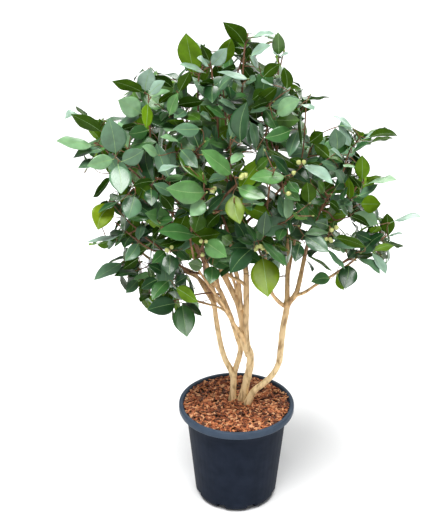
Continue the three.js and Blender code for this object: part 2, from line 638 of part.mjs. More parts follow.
function addLeaf(spray, site, leaf) {
  if (!leafFits(spray, site, leaf)) return false;
  graft(spray.body, site.root, leafShape(cornersOf(spray.body, site.root), leaf));
  takeSite(spray, site);
  spray.grown.push(leaf);
  return true;
}

const heading = (bearing, rise) => new THREE.Vector3(Math.cos(radians(bearing)) * Math.cos(radians(rise)),
  Math.sin(radians(bearing)) * Math.cos(radians(rise)), Math.sin(radians(rise)));

// A leaf whose tip lies at the given place, from a site or on a twig out of that site.
function reachFrom(spray, site, tip, facing, width) {
  const direction = tip.clone().sub(site.centre).normalize();
  const reach = tip.distanceTo(site.centre);
  if (reach > LEAD_LONGEST && addTwig(spray, site, direction, reach - LEAD_LENGTH, 1)) {
    const end = spray.sites[spray.sites.length - 1];
    addLeaf(spray, end, makeLeaf(end.centre, direction, facing, LEAD_LENGTH, width));
    return true;
  }
  return addLeaf(spray, site, makeLeaf(site.centre, direction, facing, reach, width));
}

// A leading leaf grows from a free site that faces its way, nearer to the hub where it must.
function growLeads(spray, random) {
  for (const [bearing, rise, distance, width] of spray.lead) {
    const way = heading(bearing, rise);
    const facing = facingAt(moved(spray.hub, way, distance), random);
    facing.y -= FACING.front;
    const sites = [...spray.sites].sort((a, b) => b.normal.dot(way) - a.normal.dot(way)).slice(0, LEAD_TRIES);
    LEAD_SIZES.some((size) => {
      const tip = moved(spray.hub, way, distance * size);
      return sites.some((site) => reachFrom(spray, site, tip, facing, width * size));
    });
  }
}

function growTwigs(spray, random) {
  for (let k = 1, tries = 0; k < spray.twigs && tries < TRIES; tries += 1) {
    const main = spray.sites.filter((site) => site.level < 0.6);
    const site = main[Math.floor(random() * main.length)];
    const lean = radians(mix(40, 80, random()));
    const length = Math.max(spray.reach - mix(70, 56, random()), NODE.shortest);
    if (site && addTwig(spray, site, leaning(site, lean, 40 * (random() - 0.5)), length,
      length > 44 ? 2 : 1)) k += 1;
  }
}

// A direction that leans away from the twig, over the site that it grows from.
function leaning(site, lean, turn) {
  const over = site.normal.clone().applyAxisAngle(site.direction, radians(turn));
  return site.direction.clone().multiplyScalar(Math.cos(lean)).addScaledVector(over, Math.sin(lean));
}

function growLeaves(spray, random) {
  let count = 0;
  for (let i = 0; i < spray.leaves * TRIES && count < spray.leaves && spray.sites.length; i += 1) {
    const site = spray.sites[Math.floor(random() * spray.sites.length)];
    const turn = 80 * (random() - 0.5);
    const lean = radians(mix(78, 42, site.level) * mix(0.7, 1.2, random()));
    const late = i / (spray.leaves * TRIES);
    const length = mix(mix(LEAF.shortest, LEAF.longest, random()), LEAF.least, late);
    const width = length * mix(LEAF.slender, LEAF.broad, random());
    const direction = !site.end ? leaning(site, lean, turn)
      : squared(UP, site.direction).multiplyScalar(0.5 * (random() - 0.6)).add(site.direction);
    direction.z -= 0.12;
    direction.normalize();
    const leaf = makeLeaf(site.centre, direction, facingAt(site.centre, random), length, width);
    const tip = at(leaf, 1, 0, 0);
    if (tip.distanceTo(spray.hub) < spray.reach * OVERREACH && addLeaf(spray, site, leaf)) count += 1;
  }
}

function growBuds(spray) {
  const sites = spray.sites.filter((site) => !site.end).slice(0, spray.buds);
  for (const site of sites) {
    const shape = budShape(cornersOf(spray.body, site.root), site.normal);
    if (!crossesBody(spray.body, site.root, shape)) {
      graft(spray.body, site.root, shape);
      takeSite(spray, site);
    }
  }
}

function growSpray(spray) {
  const random = seeded(spray.seed);
  const others = sprays.filter((other) => other !== spray);
  const range = spray.reach + 90;
  spray.obstacles = [
    ...Object.values(limbs).flatMap((limb) => beads(limb.points, limb.sizes, 6)),
    ...others.flatMap((other) => other.stemBeads),
  ].filter(({ p }) => p.distanceTo(spray.hub) < range);
  Object.assign(spray, { body: newBody(), sites: [], grown: [] });
  growMainTwig(spray, random);
  growLeads(spray, random);
  growTwigs(spray, random);
  growLeaves(spray, random);
  growBuds(spray);
  return cutClear(solid(spray.body.points, spray.body.facets.filter(Boolean)), cutters);
}

// ---- the whole plant ----------------------------------------------------------------------

const group = new THREE.Group();

function addNode(name, manifold, colour, roughness) {
  const material = new THREE.MeshStandardMaterial({ color: colour, roughness, metalness: 0 });
  const mesh = new THREE.Mesh(geometryOf(manifold), material);
  mesh.name = name;
  group.add(mesh);
}

addNode('pot', makePot(), COLOURS.pot, 0.45);
addNode('soil', makeSoil(), COLOURS.soil, 0.95);

Object.entries(LIMBS).forEach(([name, row]) => layLimb(name, row));
const cutters = [];
for (const [name, limb] of Object.entries(limbs)) {
  const pale = name.endsWith('stem') || name.endsWith('foot');
  addNode(name, cutClear(limbSolid(limb, false), cutters), pale ? COLOURS.paleBark : COLOURS.brownBark, 0.8);
  cutters.push(limbSolid(limb, true));
}

sprays.forEach(layStem);
sprays.forEach((spray, i) => {
  addNode(spray.name, growSpray(spray), COLOURS.leaves[i % COLOURS.leaves.length], 0.4);
});

export default group;
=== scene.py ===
"""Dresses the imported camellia: bark, twigs, leaves, buds, ribbed pot and bark chips.

Lengths of the plant are in millimetres, as in the part's source, and turn into metres where a
mesh is made. Each spray of leaves grows by the same seeded rule as its solid does: its stem
leaves the same limb at the same place and bends to the same hub, and its leaves keep to the
spray's own space. Here the twigs are finer and the leaves more.
"""
import math

import bpy
import numpy as np
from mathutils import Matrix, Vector, noise


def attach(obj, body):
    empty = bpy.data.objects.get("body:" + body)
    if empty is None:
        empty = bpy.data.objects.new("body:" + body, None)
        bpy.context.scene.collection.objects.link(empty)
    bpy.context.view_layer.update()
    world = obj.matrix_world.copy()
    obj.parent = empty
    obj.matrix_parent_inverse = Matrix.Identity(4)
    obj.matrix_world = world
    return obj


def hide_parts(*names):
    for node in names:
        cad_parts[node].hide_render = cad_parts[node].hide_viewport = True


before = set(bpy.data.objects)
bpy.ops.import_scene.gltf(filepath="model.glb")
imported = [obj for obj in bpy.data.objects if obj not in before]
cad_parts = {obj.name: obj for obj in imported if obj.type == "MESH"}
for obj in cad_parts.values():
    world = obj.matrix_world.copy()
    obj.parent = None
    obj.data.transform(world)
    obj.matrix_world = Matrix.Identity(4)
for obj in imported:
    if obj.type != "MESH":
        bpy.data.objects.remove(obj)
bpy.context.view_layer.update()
MM = 0.001

# ---- camera -----------------------------------------------------------------------------

TILT = math.radians(23.03)
EYE = Vector((-52, -2300, 1773))
PICTURE_WIDE, PICTURE_TALL = 440, 532
MIDDLE = (220, 266)
FOCAL = 846.3                     # in pixels of that picture; the lens below in millimetres

camera = bpy.data.objects.new("camera", bpy.data.cameras.new("camera"))
bpy.context.scene.collection.objects.link(camera)
camera.location = EYE * MM
camera.rotation_euler = (math.radians(90) - TILT, 0, 0)
camera.data.sensor_width = 36
camera.data.lens = 57.27
bpy.context.scene.camera = camera

# ---- named sizes, as in the part's source -----------------------------------------------

POT_HEIGHT = 330
POT_FOOT_RADIUS = 119
POT_WALL = 3.6
POT_FLOOR = 6
HEEL_Z, HEEL_RADIUS = 16, 132
BAND_Z, BAND_RADIUS = 294, 158.5
LIP_Z, LIP_RADIUS, LIP_INNER = 308, 182, 169
SOIL_TOP = 321
TWIG_START, TWIG_HUB, TWIG_END = 3.2, 2.2, 1.8
CROWN_HEART = Vector((-10, 20, 930))
CROWN_TOP = 1491
LEAF_CLEAR = 3
OVERREACH = 1.12
UP = Vector((0, 0, 1))

LIMBS = {
    "left_stem": dict(foot=(-12, 22), radii=(10, 7.2), through=[
        (-11, 20, 410), (-36, 22, 470), (-50, 25, 520), (-63, 28, 600), (-70, 32, 659)]),
    "middle_stem": dict(foot=(19, 17), radii=(13, 8.4), through=[
        (32, 12, 400), (41, 5, 450), (41, 0, 500), (31, -5, 535), (26, -8, 600), (27, -10, 690),
        (25, -8, 779)]),
    "right_foot": dict(foot=(34, -3), radii=(10.5, 8.4), through=[
        (54, -10, 373), (79, -18, 402), (103, -26, 432), (119, -32, 463), (129, -36, 493)]),
    "right_stem": dict(start=("right_foot", 1), radii=(9.6, 9.2), through=[
        (132, -38, 540), (137, -38, 610), (145, -36, 663), (147, -34, 690)]),
    "inner_stem": dict(start=("left_stem", 0.2), radii=(9, 6.6), through=[
        (8, 34, 469), (12, 38, 503), (0, 38, 544), (-22, 24, 625), (-49, 0, 707), (-64, -12, 740)]),
    "leader": dict(start=("middle_stem", 1), radii=(8, 3.2), through=[
        (15, 0, 846), (-3, 5, 907), (-18, 10, 1027), (-30, 10, 1144), (-26, 8, 1250)]),
    "left_bough": dict(start=("left_stem", 1), radii=(7.6, 3), through=[
        (-84, 36, 694), (-120, 55, 734), (-178, 66, 756), (-262, 66, 790), (-320, 56, 850)]),
    "left_rear_bough": dict(start=("left_stem", 0.94), radii=(6.2, 2.8), through=[
        (-86, 66, 705), (-98, 110, 769), (-120, 150, 852), (-140, 190, 940), (-150, 220, 1010)]),
    "left_front_bough": dict(start=("inner_stem", 1), radii=(6.2, 2.8), through=[
        (-95, -50, 829), (-135, -100, 931), (-190, -118, 1010), (-245, -100, 1070)]),
    "front_left_bough": dict(start=("middle_stem", 0.44), radii=(6.2, 2.8), through=[
        (18, -15, 569), (4, -20, 592), (-13, -24, 623), (-44, -44, 693), (-84, -78, 768), (-118, -122, 848),
        (-130, -175, 930)]),
    "rear_bough": dict(start=("middle_stem", 0.72), radii=(6.4, 2.8), through=[
        (8, 10, 660), (-19, 55, 698), (-40, 100, 750), (-48, 150, 830), (-46, 200, 915)]),
    "right_inner_bough": dict(start=("right_stem", 0.9), radii=(7.2, 2.8), through=[
        (130, -47, 693), (100, -72, 738), (82, -88, 799), (76, -98, 870), (74, -118, 940)]),
    "right_leader": dict(start=("right_stem", 1), radii=(8.2, 2.8), through=[
        (147, -18, 744), (148, 8, 801), (146, 35, 870), (136, 52, 955), (112, 52, 1100), (104, 45, 1190)]),
    "right_bough": dict(start=("right_stem", 0.97), radii=(9.2, 2.8), through=[
        (169, -40, 719), (181, -28, 754), (203, 10, 849), (234, 36, 941), (278, 40, 1020), (305, 32, 1085)]),
    "right_low_bough": dict(start=("right_bough", 0.16), radii=(5.4, 2.8), through=[
        (196, -52, 734), (230, -57, 762), (275, -55, 790), (320, -50, 822), (345, -40, 840)]),
    "left_high_bough": dict(start=("leader", 0.62), radii=(4, 2.6), through=[
        (-60, 12, 1090), (-115, 15, 1150), (-165, 10, 1205)]),
    "right_rear_bough": dict(start=("right_leader", 0.2), radii=(4.4, 2.8), through=[
        (168, 60, 830), (188, 125, 890), (205, 175, 950)]),
}

# Per spray: the limb that carries it, the share along it, its hub, reach, twigs and leaves.
SPRAYS = {
    "top_spray": ("leader", 1, (12, 0, 1412), 104, 2, 8),
    "top_left_spray": ("leader", 0.86, (-76, 30, 1367), 105, 2, 10),
    "top_right_spray": ("right_leader", 1, (110, 20, 1366), 98, 2, 9),
    "upper_left_spray": ("left_high_bough", 1, (-250, 0, 1290), 100, 2, 10),
    "left_tip_spray": ("left_front_bough", 1, (-341, -20, 1133), 120, 3, 10),
    "left_mid_spray": ("left_bough", 1, (-313, 40, 999), 110, 2, 10),
    "left_low_spray": ("left_bough", 0.92, (-290, 40, 862), 96, 2, 10),
    "left_bottom_spray": ("left_bough", 0.76, (-272, 40, 775), 100, 2, 9),
    "bottom_left_spray": ("left_bough", 0.5, (-195, 10, 742), 105, 2, 10),
    "hanging_spray": ("inner_stem", 0.78, (-166, -58, 716), 90, 1, 7),
    "right_top_spray": ("right_leader", 0.85, (172, 10, 1258), 98, 2, 10),
    "right_high_spray": ("right_bough", 1, (322, 10, 1155), 100, 2, 11),
    "right_mid_spray": ("right_bough", 0.86, (325, -20, 1076), 100, 2, 10),
    "right_mid_low_spray": ("right_bough", 0.7, (318, -20, 983), 100, 2, 10),
    "right_tip_spray": ("right_low_bough", 1, (400, -15, 872), 98, 2, 9),
    "right_low_spray": ("right_low_bough", 0.8, (312, -110, 864), 98, 2, 8),
    "right_inner_low_spray": ("right_bough", 0.44, (205, -60, 905), 100, 2, 11),
    "centre_low_spray": ("right_inner_bough", 0.76, (52, -178, 918), 108, 2, 8),
    "centre_left_low_spray": ("front_left_bough", 0.86, (-85, -120, 925), 105, 3, 9),
    "front_left_low_spray": ("left_front_bough", 0.5, (-195, -150, 985), 112, 3, 11),
    "front_left_spray": ("left_front_bough", 0.8, (-268, -148, 1150), 112, 3, 12),
    "front_high_left_spray": ("left_high_bough", 0.55, (-140, -120, 1265), 112, 3, 13),
    "front_mid_left_spray": ("front_left_bough", 1, (-92, -250, 1105), 118, 3, 12),
    "front_left_upper_spray": ("left_high_bough", 0.25, (-110, -200, 1180), 112, 3, 12),
    "front_centre_spray": ("leader", 0.28, (-15, -262, 1075), 122, 3, 11),
    "front_upper_spray": ("leader", 0.5, (-25, -215, 1195), 115, 3, 12),
    "front_top_spray": ("leader", 0.74, (-40, -130, 1300), 112, 3, 12),
    "front_right_top_spray": ("right_leader", 0.75, (55, -140, 1285), 108, 3, 12),
    "front_right_spray": ("right_inner_bough", 1, (75, -250, 1130), 118, 3, 12),
    "front_right_low_spray": ("right_inner_bough", 0.92, (118, -222, 1015), 122, 3, 12),
    "front_right_upper_spray": ("right_leader", 0.6, (175, -160, 1175), 115, 3, 12),
    "right_front_spray": ("right_bough", 0.66, (225, -160, 1050), 112, 3, 12),
    "rear_left_spray": ("left_rear_bough", 1, (-225, 215, 1110), 122, 4, 15),
    "rear_left_low_spray": ("left_rear_bough", 0.7, (-210, 235, 935), 112, 3, 13),
    "rear_high_left_spray": ("left_high_bough", 0.85, (-120, 170, 1255), 120, 3, 14),
    "rear_high_spray": ("leader", 0.84, (25, 175, 1290), 120, 3, 14),
    "rear_high_right_spray": ("right_leader", 0.84, (165, 190, 1200), 122, 4, 14),
    "rear_mid_spray": ("rear_bough", 1, (10, 300, 1110), 128, 4, 15),
    "rear_low_spray": ("rear_bough", 0.82, (-40, 290, 940), 118, 4, 14),
    "rear_right_spray": ("right_rear_bough", 1, (225, 235, 1035), 125, 4, 14),
    "left_inner_low_spray": ("left_rear_bough", 0.3, (-88, 20, 815), 108, 3, 11),
}

# The leaves that face the front, each as read off where the camera sees it, on a picture 440 by
# 532: its stalk's root (across, down), its tip (across, down), its width, its tint and how many
# layers it lies behind the foremost leaves. Some end with how far (across, down) a curved
# leaf's middle lies off the straight line from root to tip.
# Of the underside tints, the bright yellow-green one is painted light shining through the blade and the
# darkest one is painted shade.
# Of these tints, the palest top one is a painted sheen of the bright sky on leaves that face up.
FRONT_LEAVES = [
    (94, 146, 56, 141, 11, "light", 0, (0, -1)), (104, 150, 73, 158, 9, "blue", 1, (0, -3)),
    (114, 159, 87, 166, 14, "light", 0), (108, 167, 78, 168, 8, "blue", 1, (0, -4)),
    (102, 132, 71, 114, 13, "olive", 1, (1, 0)), (82, 117, 65, 119, 5, "pale", 0, (0, -5)),
    (85, 117, 76, 106, 5, "olive", 1, (1, -1)), (101, 141, 88, 127, 9, "lime", 2),
    (116, 155, 109, 118, 24, "sage", 0), (121, 130, 138, 125, 9, "dusk", 2),
    (121, 162, 144, 150, 16, "blue", 0), (118, 164, 121, 194, 21, "sage", 0),
    (112, 176, 93, 197, 7, "dusk", 1, (-1, 3)), (149, 130, 128, 134, 14, "mid", 2),
    (142, 114, 118, 100, 19, "light", 0), (148, 103, 146, 128, 11, "lime", 0),
    (144, 93, 112, 81, 11, "olive", 1, (0, -2)), (145, 92, 151, 68, 17, "pale", 1, (-1, 0)),
    (149, 94, 165, 81, 10, "pale", 0), (174, 88, 151, 76, 9, "dusk", 2), (151, 97, 170, 91, 6, "light", 1),
    (158, 104, 176, 92, 7, "olive", 2), (169, 116, 178, 93, 11, "bright", 1),
    (176, 105, 203, 101, 11, "dusk", 2), (201, 129, 173, 129, 13, "sage", 0),
    (194, 75, 186, 33, 22, "lime", 1), (206, 73, 179, 64, 5, "pale", 0), (210, 62, 201, 44, 8, "olive", 1),
    (211, 66, 227, 48, 13, "pale", 1), (208, 64, 197, 58, 6, "pale", 0), (222, 66, 231, 38, 15, "lime", 2),
    (245, 45, 223, 22, 15, "olive", 1, (2, -1)), (249, 79, 217, 72, 6, "pale", 0),
    (218, 90, 235, 76, 8, "blue", 1), (179, 92, 190, 71, 11, "olive", 1), (236, 69, 221, 70, 6, "dusk", 2),
    (214, 84, 200, 82, 7, "dusk", 2), (228, 84, 231, 100, 9, "deep", 2), (246, 81, 256, 80, 8, "blue", 1),
    (242, 85, 234, 79, 6, "pale", 1), (207, 193, 166, 188, 22, "bright", 0),
    (233, 175, 201, 150, 16, "bright", 0), (180, 149, 198, 168, 14, "sage", 1),
    (178, 152, 207, 185, 13, "moss", 1), (158, 155, 142, 146, 9, "light", 0),
    (179, 166, 158, 172, 5, "pale", 0), (184, 175, 165, 181, 7, "bright", 1),
    (175, 194, 153, 184, 11, "blue", 1), (207, 181, 227, 178, 8, "blue", 1),
    (242, 152, 231, 164, 9, "light", 1), (240, 143, 247, 102, 18, "deep", 0),
    (201, 149, 210, 139, 7, "mid", 1), (237, 109, 218, 100, 6, "blue", 1),
    (226, 118, 206, 106, 8, "mid", 1), (257, 104, 277, 87, 12, "olive", 2),
    (271, 101, 252, 108, 9, "dusk", 2), (270, 107, 300, 99, 11, "blue", 1),
    (276, 116, 300, 100, 15, "light", 0, (-1, -2)), (275, 120, 300, 120, 15, "moss", 1),
    (292, 130, 265, 138, 15, "mid", 0), (298, 130, 289, 157, 13, "blue", 1),
    (279, 56, 278, 32, 12, "moss", 0), (252, 37, 275, 34, 5, "pale", 0, (0, -1)),
    (250, 56, 271, 45, 8, "pale", 0, (0, -1)), (279, 57, 288, 54, 3, "pale", 1),
    (279, 57, 274, 54, 3, "pale", 1), (263, 77, 280, 64, 12, "olive", 1),
    (287, 90, 284, 67, 11, "olive", 0), (291, 89, 303, 90, 4, "lime", 1), (271, 84, 262, 82, 4, "pale", 0),
    (259, 66, 250, 57, 7, "pale", 1), (268, 91, 252, 100, 12, "dusk", 2),
    (272, 99, 251, 108, 7, "olive", 2), (269, 107, 250, 113, 6, "blue", 2),
    (308, 100, 331, 97, 3, "dusk", 0, (0, -1)), (302, 104, 314, 110, 5, "pale", 0),
    (298, 108, 302, 151, 3, "dusk", 0, (1, 0)), (353, 128, 333, 116, 5, "pale", 1),
    (351, 147, 338, 125, 9, "pale", 1), (337, 151, 335, 128, 16, "blue", 1),
    (348, 150, 342, 130, 7, "olive", 2), (309, 143, 323, 132, 12, "olive", 1),
    (330, 158, 314, 144, 11, "olive", 1), (366, 138, 399, 138, 7, "olive", 0, (5, -6)),
    (361, 140, 385, 134, 4, "pale", 1), (352, 153, 370, 142, 5, "deep", 1),
    (370, 143, 393, 138, 4, "olive", 1, (1, -2)), (362, 181, 362, 155, 14, "lime", 1, (0, 0)),
    (365, 185, 397, 180, 5, "light", 0, (0, -3)), (357, 196, 378, 184, 8, "blue", 0, (2, 2)),
    (361, 189, 349, 175, 7, "dusk", 1), (350, 200, 349, 177, 9, "lime", 1),
    (303, 164, 333, 184, 10, "pale", 0), (338, 168, 321, 162, 8, "blue", 1),
    (286, 176, 250, 179, 14, "bright", 0), (290, 177, 271, 155, 9, "deep", 1),
    (302, 165, 290, 158, 9, "dusk", 1), (256, 170, 269, 158, 10, "moss", 1),
    (257, 150, 250, 122, 9, "blue", 1), (264, 135, 258, 124, 6, "blue", 1),
    (289, 181, 299, 193, 10, "mid", 1), (309, 204, 307, 182, 15, "olive", 0),
    (237, 187, 266, 198, 14, "bright", 0), (233, 194, 240, 224, 18, "mottle", 0),
    (205, 200, 190, 216, 15, "light", 0), (201, 213, 195, 232, 17, "moss", 1),
    (220, 213, 206, 228, 12, "dusk", 2), (195, 235, 158, 232, 16, "mid", 0),
    (207, 210, 225, 194, 9, "deep", 1), (204, 241, 227, 257, 18, "bright", 0),
    (232, 244, 222, 236, 12, "moss", 1), (252, 248, 230, 273, 19, "deep", 0),
    (262, 256, 268, 297, 27, "yellow", 0, (1, 0)), (262, 241, 287, 266, 9, "mid", 0, (0, 0)),
    (266, 250, 281, 262, 7, "deep", 1), (275, 245, 289, 251, 5, "olive", 1),
    (263, 237, 266, 211, 14, "deep", 0), (245, 223, 256, 242, 6, "mid", 1),
    (254, 242, 236, 239, 7, "mid", 0), (285, 227, 279, 241, 10, "mid", 1),
    (300, 243, 295, 262, 12, "deep", 0), (329, 232, 305, 234, 7, "light", 0),
    (304, 235, 329, 252, 15, "blue", 0, (0, 0)), (329, 226, 315, 222, 11, "deep", 0),
    (331, 235, 334, 221, 9, "dusk", 1), (334, 237, 366, 247, 9, "olive", 0),
    (331, 242, 357, 248, 10, "blue", 1), (371, 240, 355, 233, 10, "deep", 1),
    (389, 236, 387, 213, 13, "olive", 1, (0, 0)), (371, 234, 380, 226, 8, "lime", 2),
    (390, 223, 421, 217, 5, "pale", 0, (1, -5)), (379, 224, 354, 213, 14, "light", 0),
    (360, 204, 381, 204, 17, "lime", 1), (368, 245, 384, 234, 9, "deep", 1),
    (372, 251, 397, 244, 7, "lime", 1), (385, 243, 404, 246, 4, "dusk", 0, (0, 0)),
    (388, 236, 403, 234, 3, "pale", 1), (372, 252, 386, 274, 8, "pale", 0, (1, 0)),
    (357, 258, 380, 274, 7, "sage", 0, (2, -1)), (327, 248, 345, 269, 5, "blue", 0, (0, 1)),
    (357, 249, 348, 259, 9, "deep", 1), (349, 264, 345, 289, 18, "deep", 0, (1, 0)),
    (337, 272, 344, 290, 8, "lime", 1, (-1, 2)), (331, 279, 311, 282, 12, "mid", 0, (0, -3)),
    (308, 256, 333, 272, 3, "dusk", 0), (306, 259, 312, 272, 3, "deep", 1),
    (297, 202, 307, 220, 9, "mid", 1), (284, 185, 300, 201, 12, "bright", 1),
    (329, 201, 341, 213, 7, "dusk", 1), (353, 201, 336, 204, 8, "blue", 1),
    (353, 210, 344, 203, 9, "deep", 1), (348, 214, 340, 206, 7, "light", 1),
    (351, 216, 370, 226, 7, "dusk", 1), (115, 204, 98, 230, 20, "yellow", 0, (-5, -2)),
    (109, 203, 97, 207, 7, "dusk", 1), (120, 195, 111, 201, 9, "mid", 2), (120, 201, 98, 213, 5, "deep", 0),
    (135, 195, 128, 219, 19, "sage", 0), (151, 188, 152, 206, 14, "deep", 1),
    (154, 181, 132, 186, 8, "dusk", 1), (142, 224, 139, 240, 9, "blue", 1),
    (122, 230, 111, 236, 7, "deep", 1), (125, 234, 87, 242, 4, "pale", 0, (0, 1)),
    (131, 236, 124, 248, 10, "deep", 1), (139, 243, 125, 261, 12, "sage", 0),
    (147, 249, 131, 258, 7, "dusk", 2), (123, 262, 94, 280, 12, "blue", 0, (0, 0)),
    (139, 258, 123, 269, 10, "dusk", 1), (140, 273, 114, 276, 8, "deep", 0),
    (138, 280, 126, 293, 10, "blue", 0, (0, 0)), (145, 280, 140, 292, 6, "olive", 1),
    (158, 279, 141, 289, 11, "deep", 1), (169, 280, 152, 300, 13, "mid", 0),
    (149, 293, 140, 302, 7, "moss", 1), (177, 303, 147, 310, 18, "deep", 0),
    (166, 292, 151, 306, 5, "lime", 1), (175, 287, 198, 302, 13, "lime", 0, (0, 0)),
    (182, 303, 187, 337, 21, "mid", 0, (0, 0)), (181, 302, 202, 316, 8, "deep", 1),
    (174, 284, 188, 275, 9, "deep", 1), (170, 253, 169, 275, 17, "deep", 0),
    (166, 251, 152, 263, 11, "mid", 1), (164, 273, 148, 265, 9, "deep", 2),
    (151, 279, 149, 267, 7, "dusk", 2), (179, 250, 189, 261, 8, "mid", 1),
    (203, 267, 188, 263, 12, "moss", 1), (212, 265, 210, 284, 15, "mid", 0),
    (160, 228, 152, 237, 8, "dusk", 2), (214, 255, 226, 259, 6, "deep", 1),
    (205, 162, 198, 148, 7, "blue", 2), (181, 143, 160, 137, 5, "light", 1),
    (186, 110, 174, 118, 10, "blue", 2), (211, 118, 200, 114, 7, "blue", 1),
    (251, 146, 251, 123, 9, "blue", 1), (215, 141, 216, 125, 6, "deep", 2),
    (319, 165, 309, 162, 5, "dusk", 1), (344, 183, 335, 170, 9, "blue", 1),
    (353, 165, 344, 167, 5, "light", 1), (342, 157, 331, 149, 4, "pale", 0),
    (325, 192, 318, 181, 8, "moss", 1), (318, 246, 310, 258, 7, "deep", 1),
    (346, 187, 343, 200, 6, "deep", 1), (290, 219, 290, 233, 7, "deep", 1),
]
LAYER = 34                        # mm from one layer of front leaves to the next
SEEN_WIDER = 1.08                 # a folded blade shows narrower than it is

# Boughs and twigs that show between the leaves, in the same measure: radii at both ends, depth
# as a share of the leaves' own, and the points that each one runs through.
FRONT_TWIGS = [
    (4.2, 3.0, 0.75, [(214, 212), (221, 201), (228, 193), (234, 187), (237, 184)]),
    (4.6, 3.0, 0.50, [(232, 240), (240, 228), (250, 219), (262, 208), (273, 197), (285, 184), (299, 165)]),
    (4.6, 3.6, 0.40, [(234, 266), (232, 262), (231, 250), (230, 240), (226, 226), (222, 215)]),
    (4.0, 3.0, 0.45, [(209, 290), (205, 277), (204, 264), (203, 245), (203, 233), (201, 222)]),
    (4.2, 3.0, 0.40, [(186, 270), (179, 265), (168, 258), (160, 248), (152, 242), (145, 237)]),
    (2.8, 2.0, 0.70, [(160, 252), (152, 250), (138, 241), (126, 231), (115, 222)]),
    (4.6, 3.0, 0.45, [(204, 262), (198, 252), (193, 240), (187, 217), (176, 213), (151, 206)]),
    (3.8, 2.8, 0.40, [(187, 217), (180, 207), (176, 198), (170, 186)]),
    (3.4, 2.2, 0.60, [(163, 227), (155, 215), (149, 206), (142, 197), (135, 192)]),
    (2.4, 1.8, 0.70, [(136, 228), (128, 221), (118, 210)]),
    (2.6, 2.0, 0.70, [(325, 192), (331, 188), (338, 184), (343, 172), (347, 158), (351, 148)]),
    (2.4, 1.8, 0.70, [(313, 224), (312, 206), (316, 196)]),
    (2.6, 1.8, 0.60, [(330, 214), (335, 220), (341, 219), (349, 217)]),
    (2.6, 2.0, 0.75, [(163, 175), (162, 167), (159, 153)]),
    (3.0, 2.2, 0.60, [(150, 140), (150, 128), (147, 104), (145, 94)]),
    (2.8, 2.0, 0.55, [(199, 140), (198, 96), (199, 76), (203, 66)]),
    (3.4, 2.0, 0.70, [(218, 140), (217, 109), (213, 85), (211, 62)]),
    (3.4, 2.0, 0.65, [(241, 140), (242, 98), (243, 70), (245, 46), (248, 34)]),
    (3.0, 1.8, 0.50, [(272, 127), (274, 109), (277, 90), (279, 56)]),
    (3.0, 2.0, 0.80, [(135, 185), (125, 172), (116, 162), (104, 148), (94, 143)]),
    (3.2, 2.2, 0.60, [(226, 150), (229, 147), (234, 137)]),
    (2.4, 1.8, 0.85, [(300, 166), (303, 150), (305, 125), (306, 104)]),
    (3.4, 2.2, 0.75, [(342, 263), (352, 256), (362, 250), (371, 243), (387, 236)]),
    (2.0, 1.6, 0.60, [(246, 226), (250, 220), (255, 217)]),
    (2.0, 1.6, 0.60, [(262, 238), (268, 234), (280, 228)]),
    (2.4, 1.8, 0.70, [(350, 200), (357, 186), (364, 182)]),
    (3.2, 2.2, 0.55, [(270, 119), (266, 134), (268, 150)]),
]

# Strands of the stems' fork: radii at both ends, depth (Y) and the points they run through.
FORK_STRANDS = [
    (8.0, 8.6, 8, [(248, 356), (243, 342), (238, 328)]),
    (9.8, 8.4, 6, [(243, 332), (242, 322), (240, 311), (236, 299), (230, 287), (223, 273), (218, 262)]),
    (4.0, 3.0, -20, [(227, 312), (220, 308), (211, 305), (197, 301), (186, 297), (176, 293)]),
    (6.0, 4.6, 8, [(215, 305), (209, 296), (204, 288), (200, 281), (194, 273), (184, 268)]),
    (7.6, 6.0, -6, [(241, 309), (240, 298), (239, 287), (237, 276), (232, 260)]),
    (5.2, 4.6, -14, [(247, 287), (240, 281), (230, 276), (221, 266), (214, 252)]),
    (7.0, 5.2, 0, [(231, 318), (225, 309), (218, 300), (214, 292), (211, 281), (208, 269), (206, 256)]),
    (5.4, 4.4, 0, [(233, 320), (227, 310), (222, 299), (219, 288), (217, 277), (214, 264)]),
    (4.6, 4.0, -8, [(237, 294), (235, 285), (232, 276), (228, 260)]),
]

# Clusters of flower buds: where the camera sees each, and the number of its buds.
BUDS = [(242, 178, 6), (212, 191, 3), (204, 242, 2), (170, 250, 2), (259, 246, 4), (269, 252, 2),
        (328, 238, 4), (332, 229, 2), (284, 193, 1), (290, 175, 1), (302, 164, 2), (199, 253, 1)]

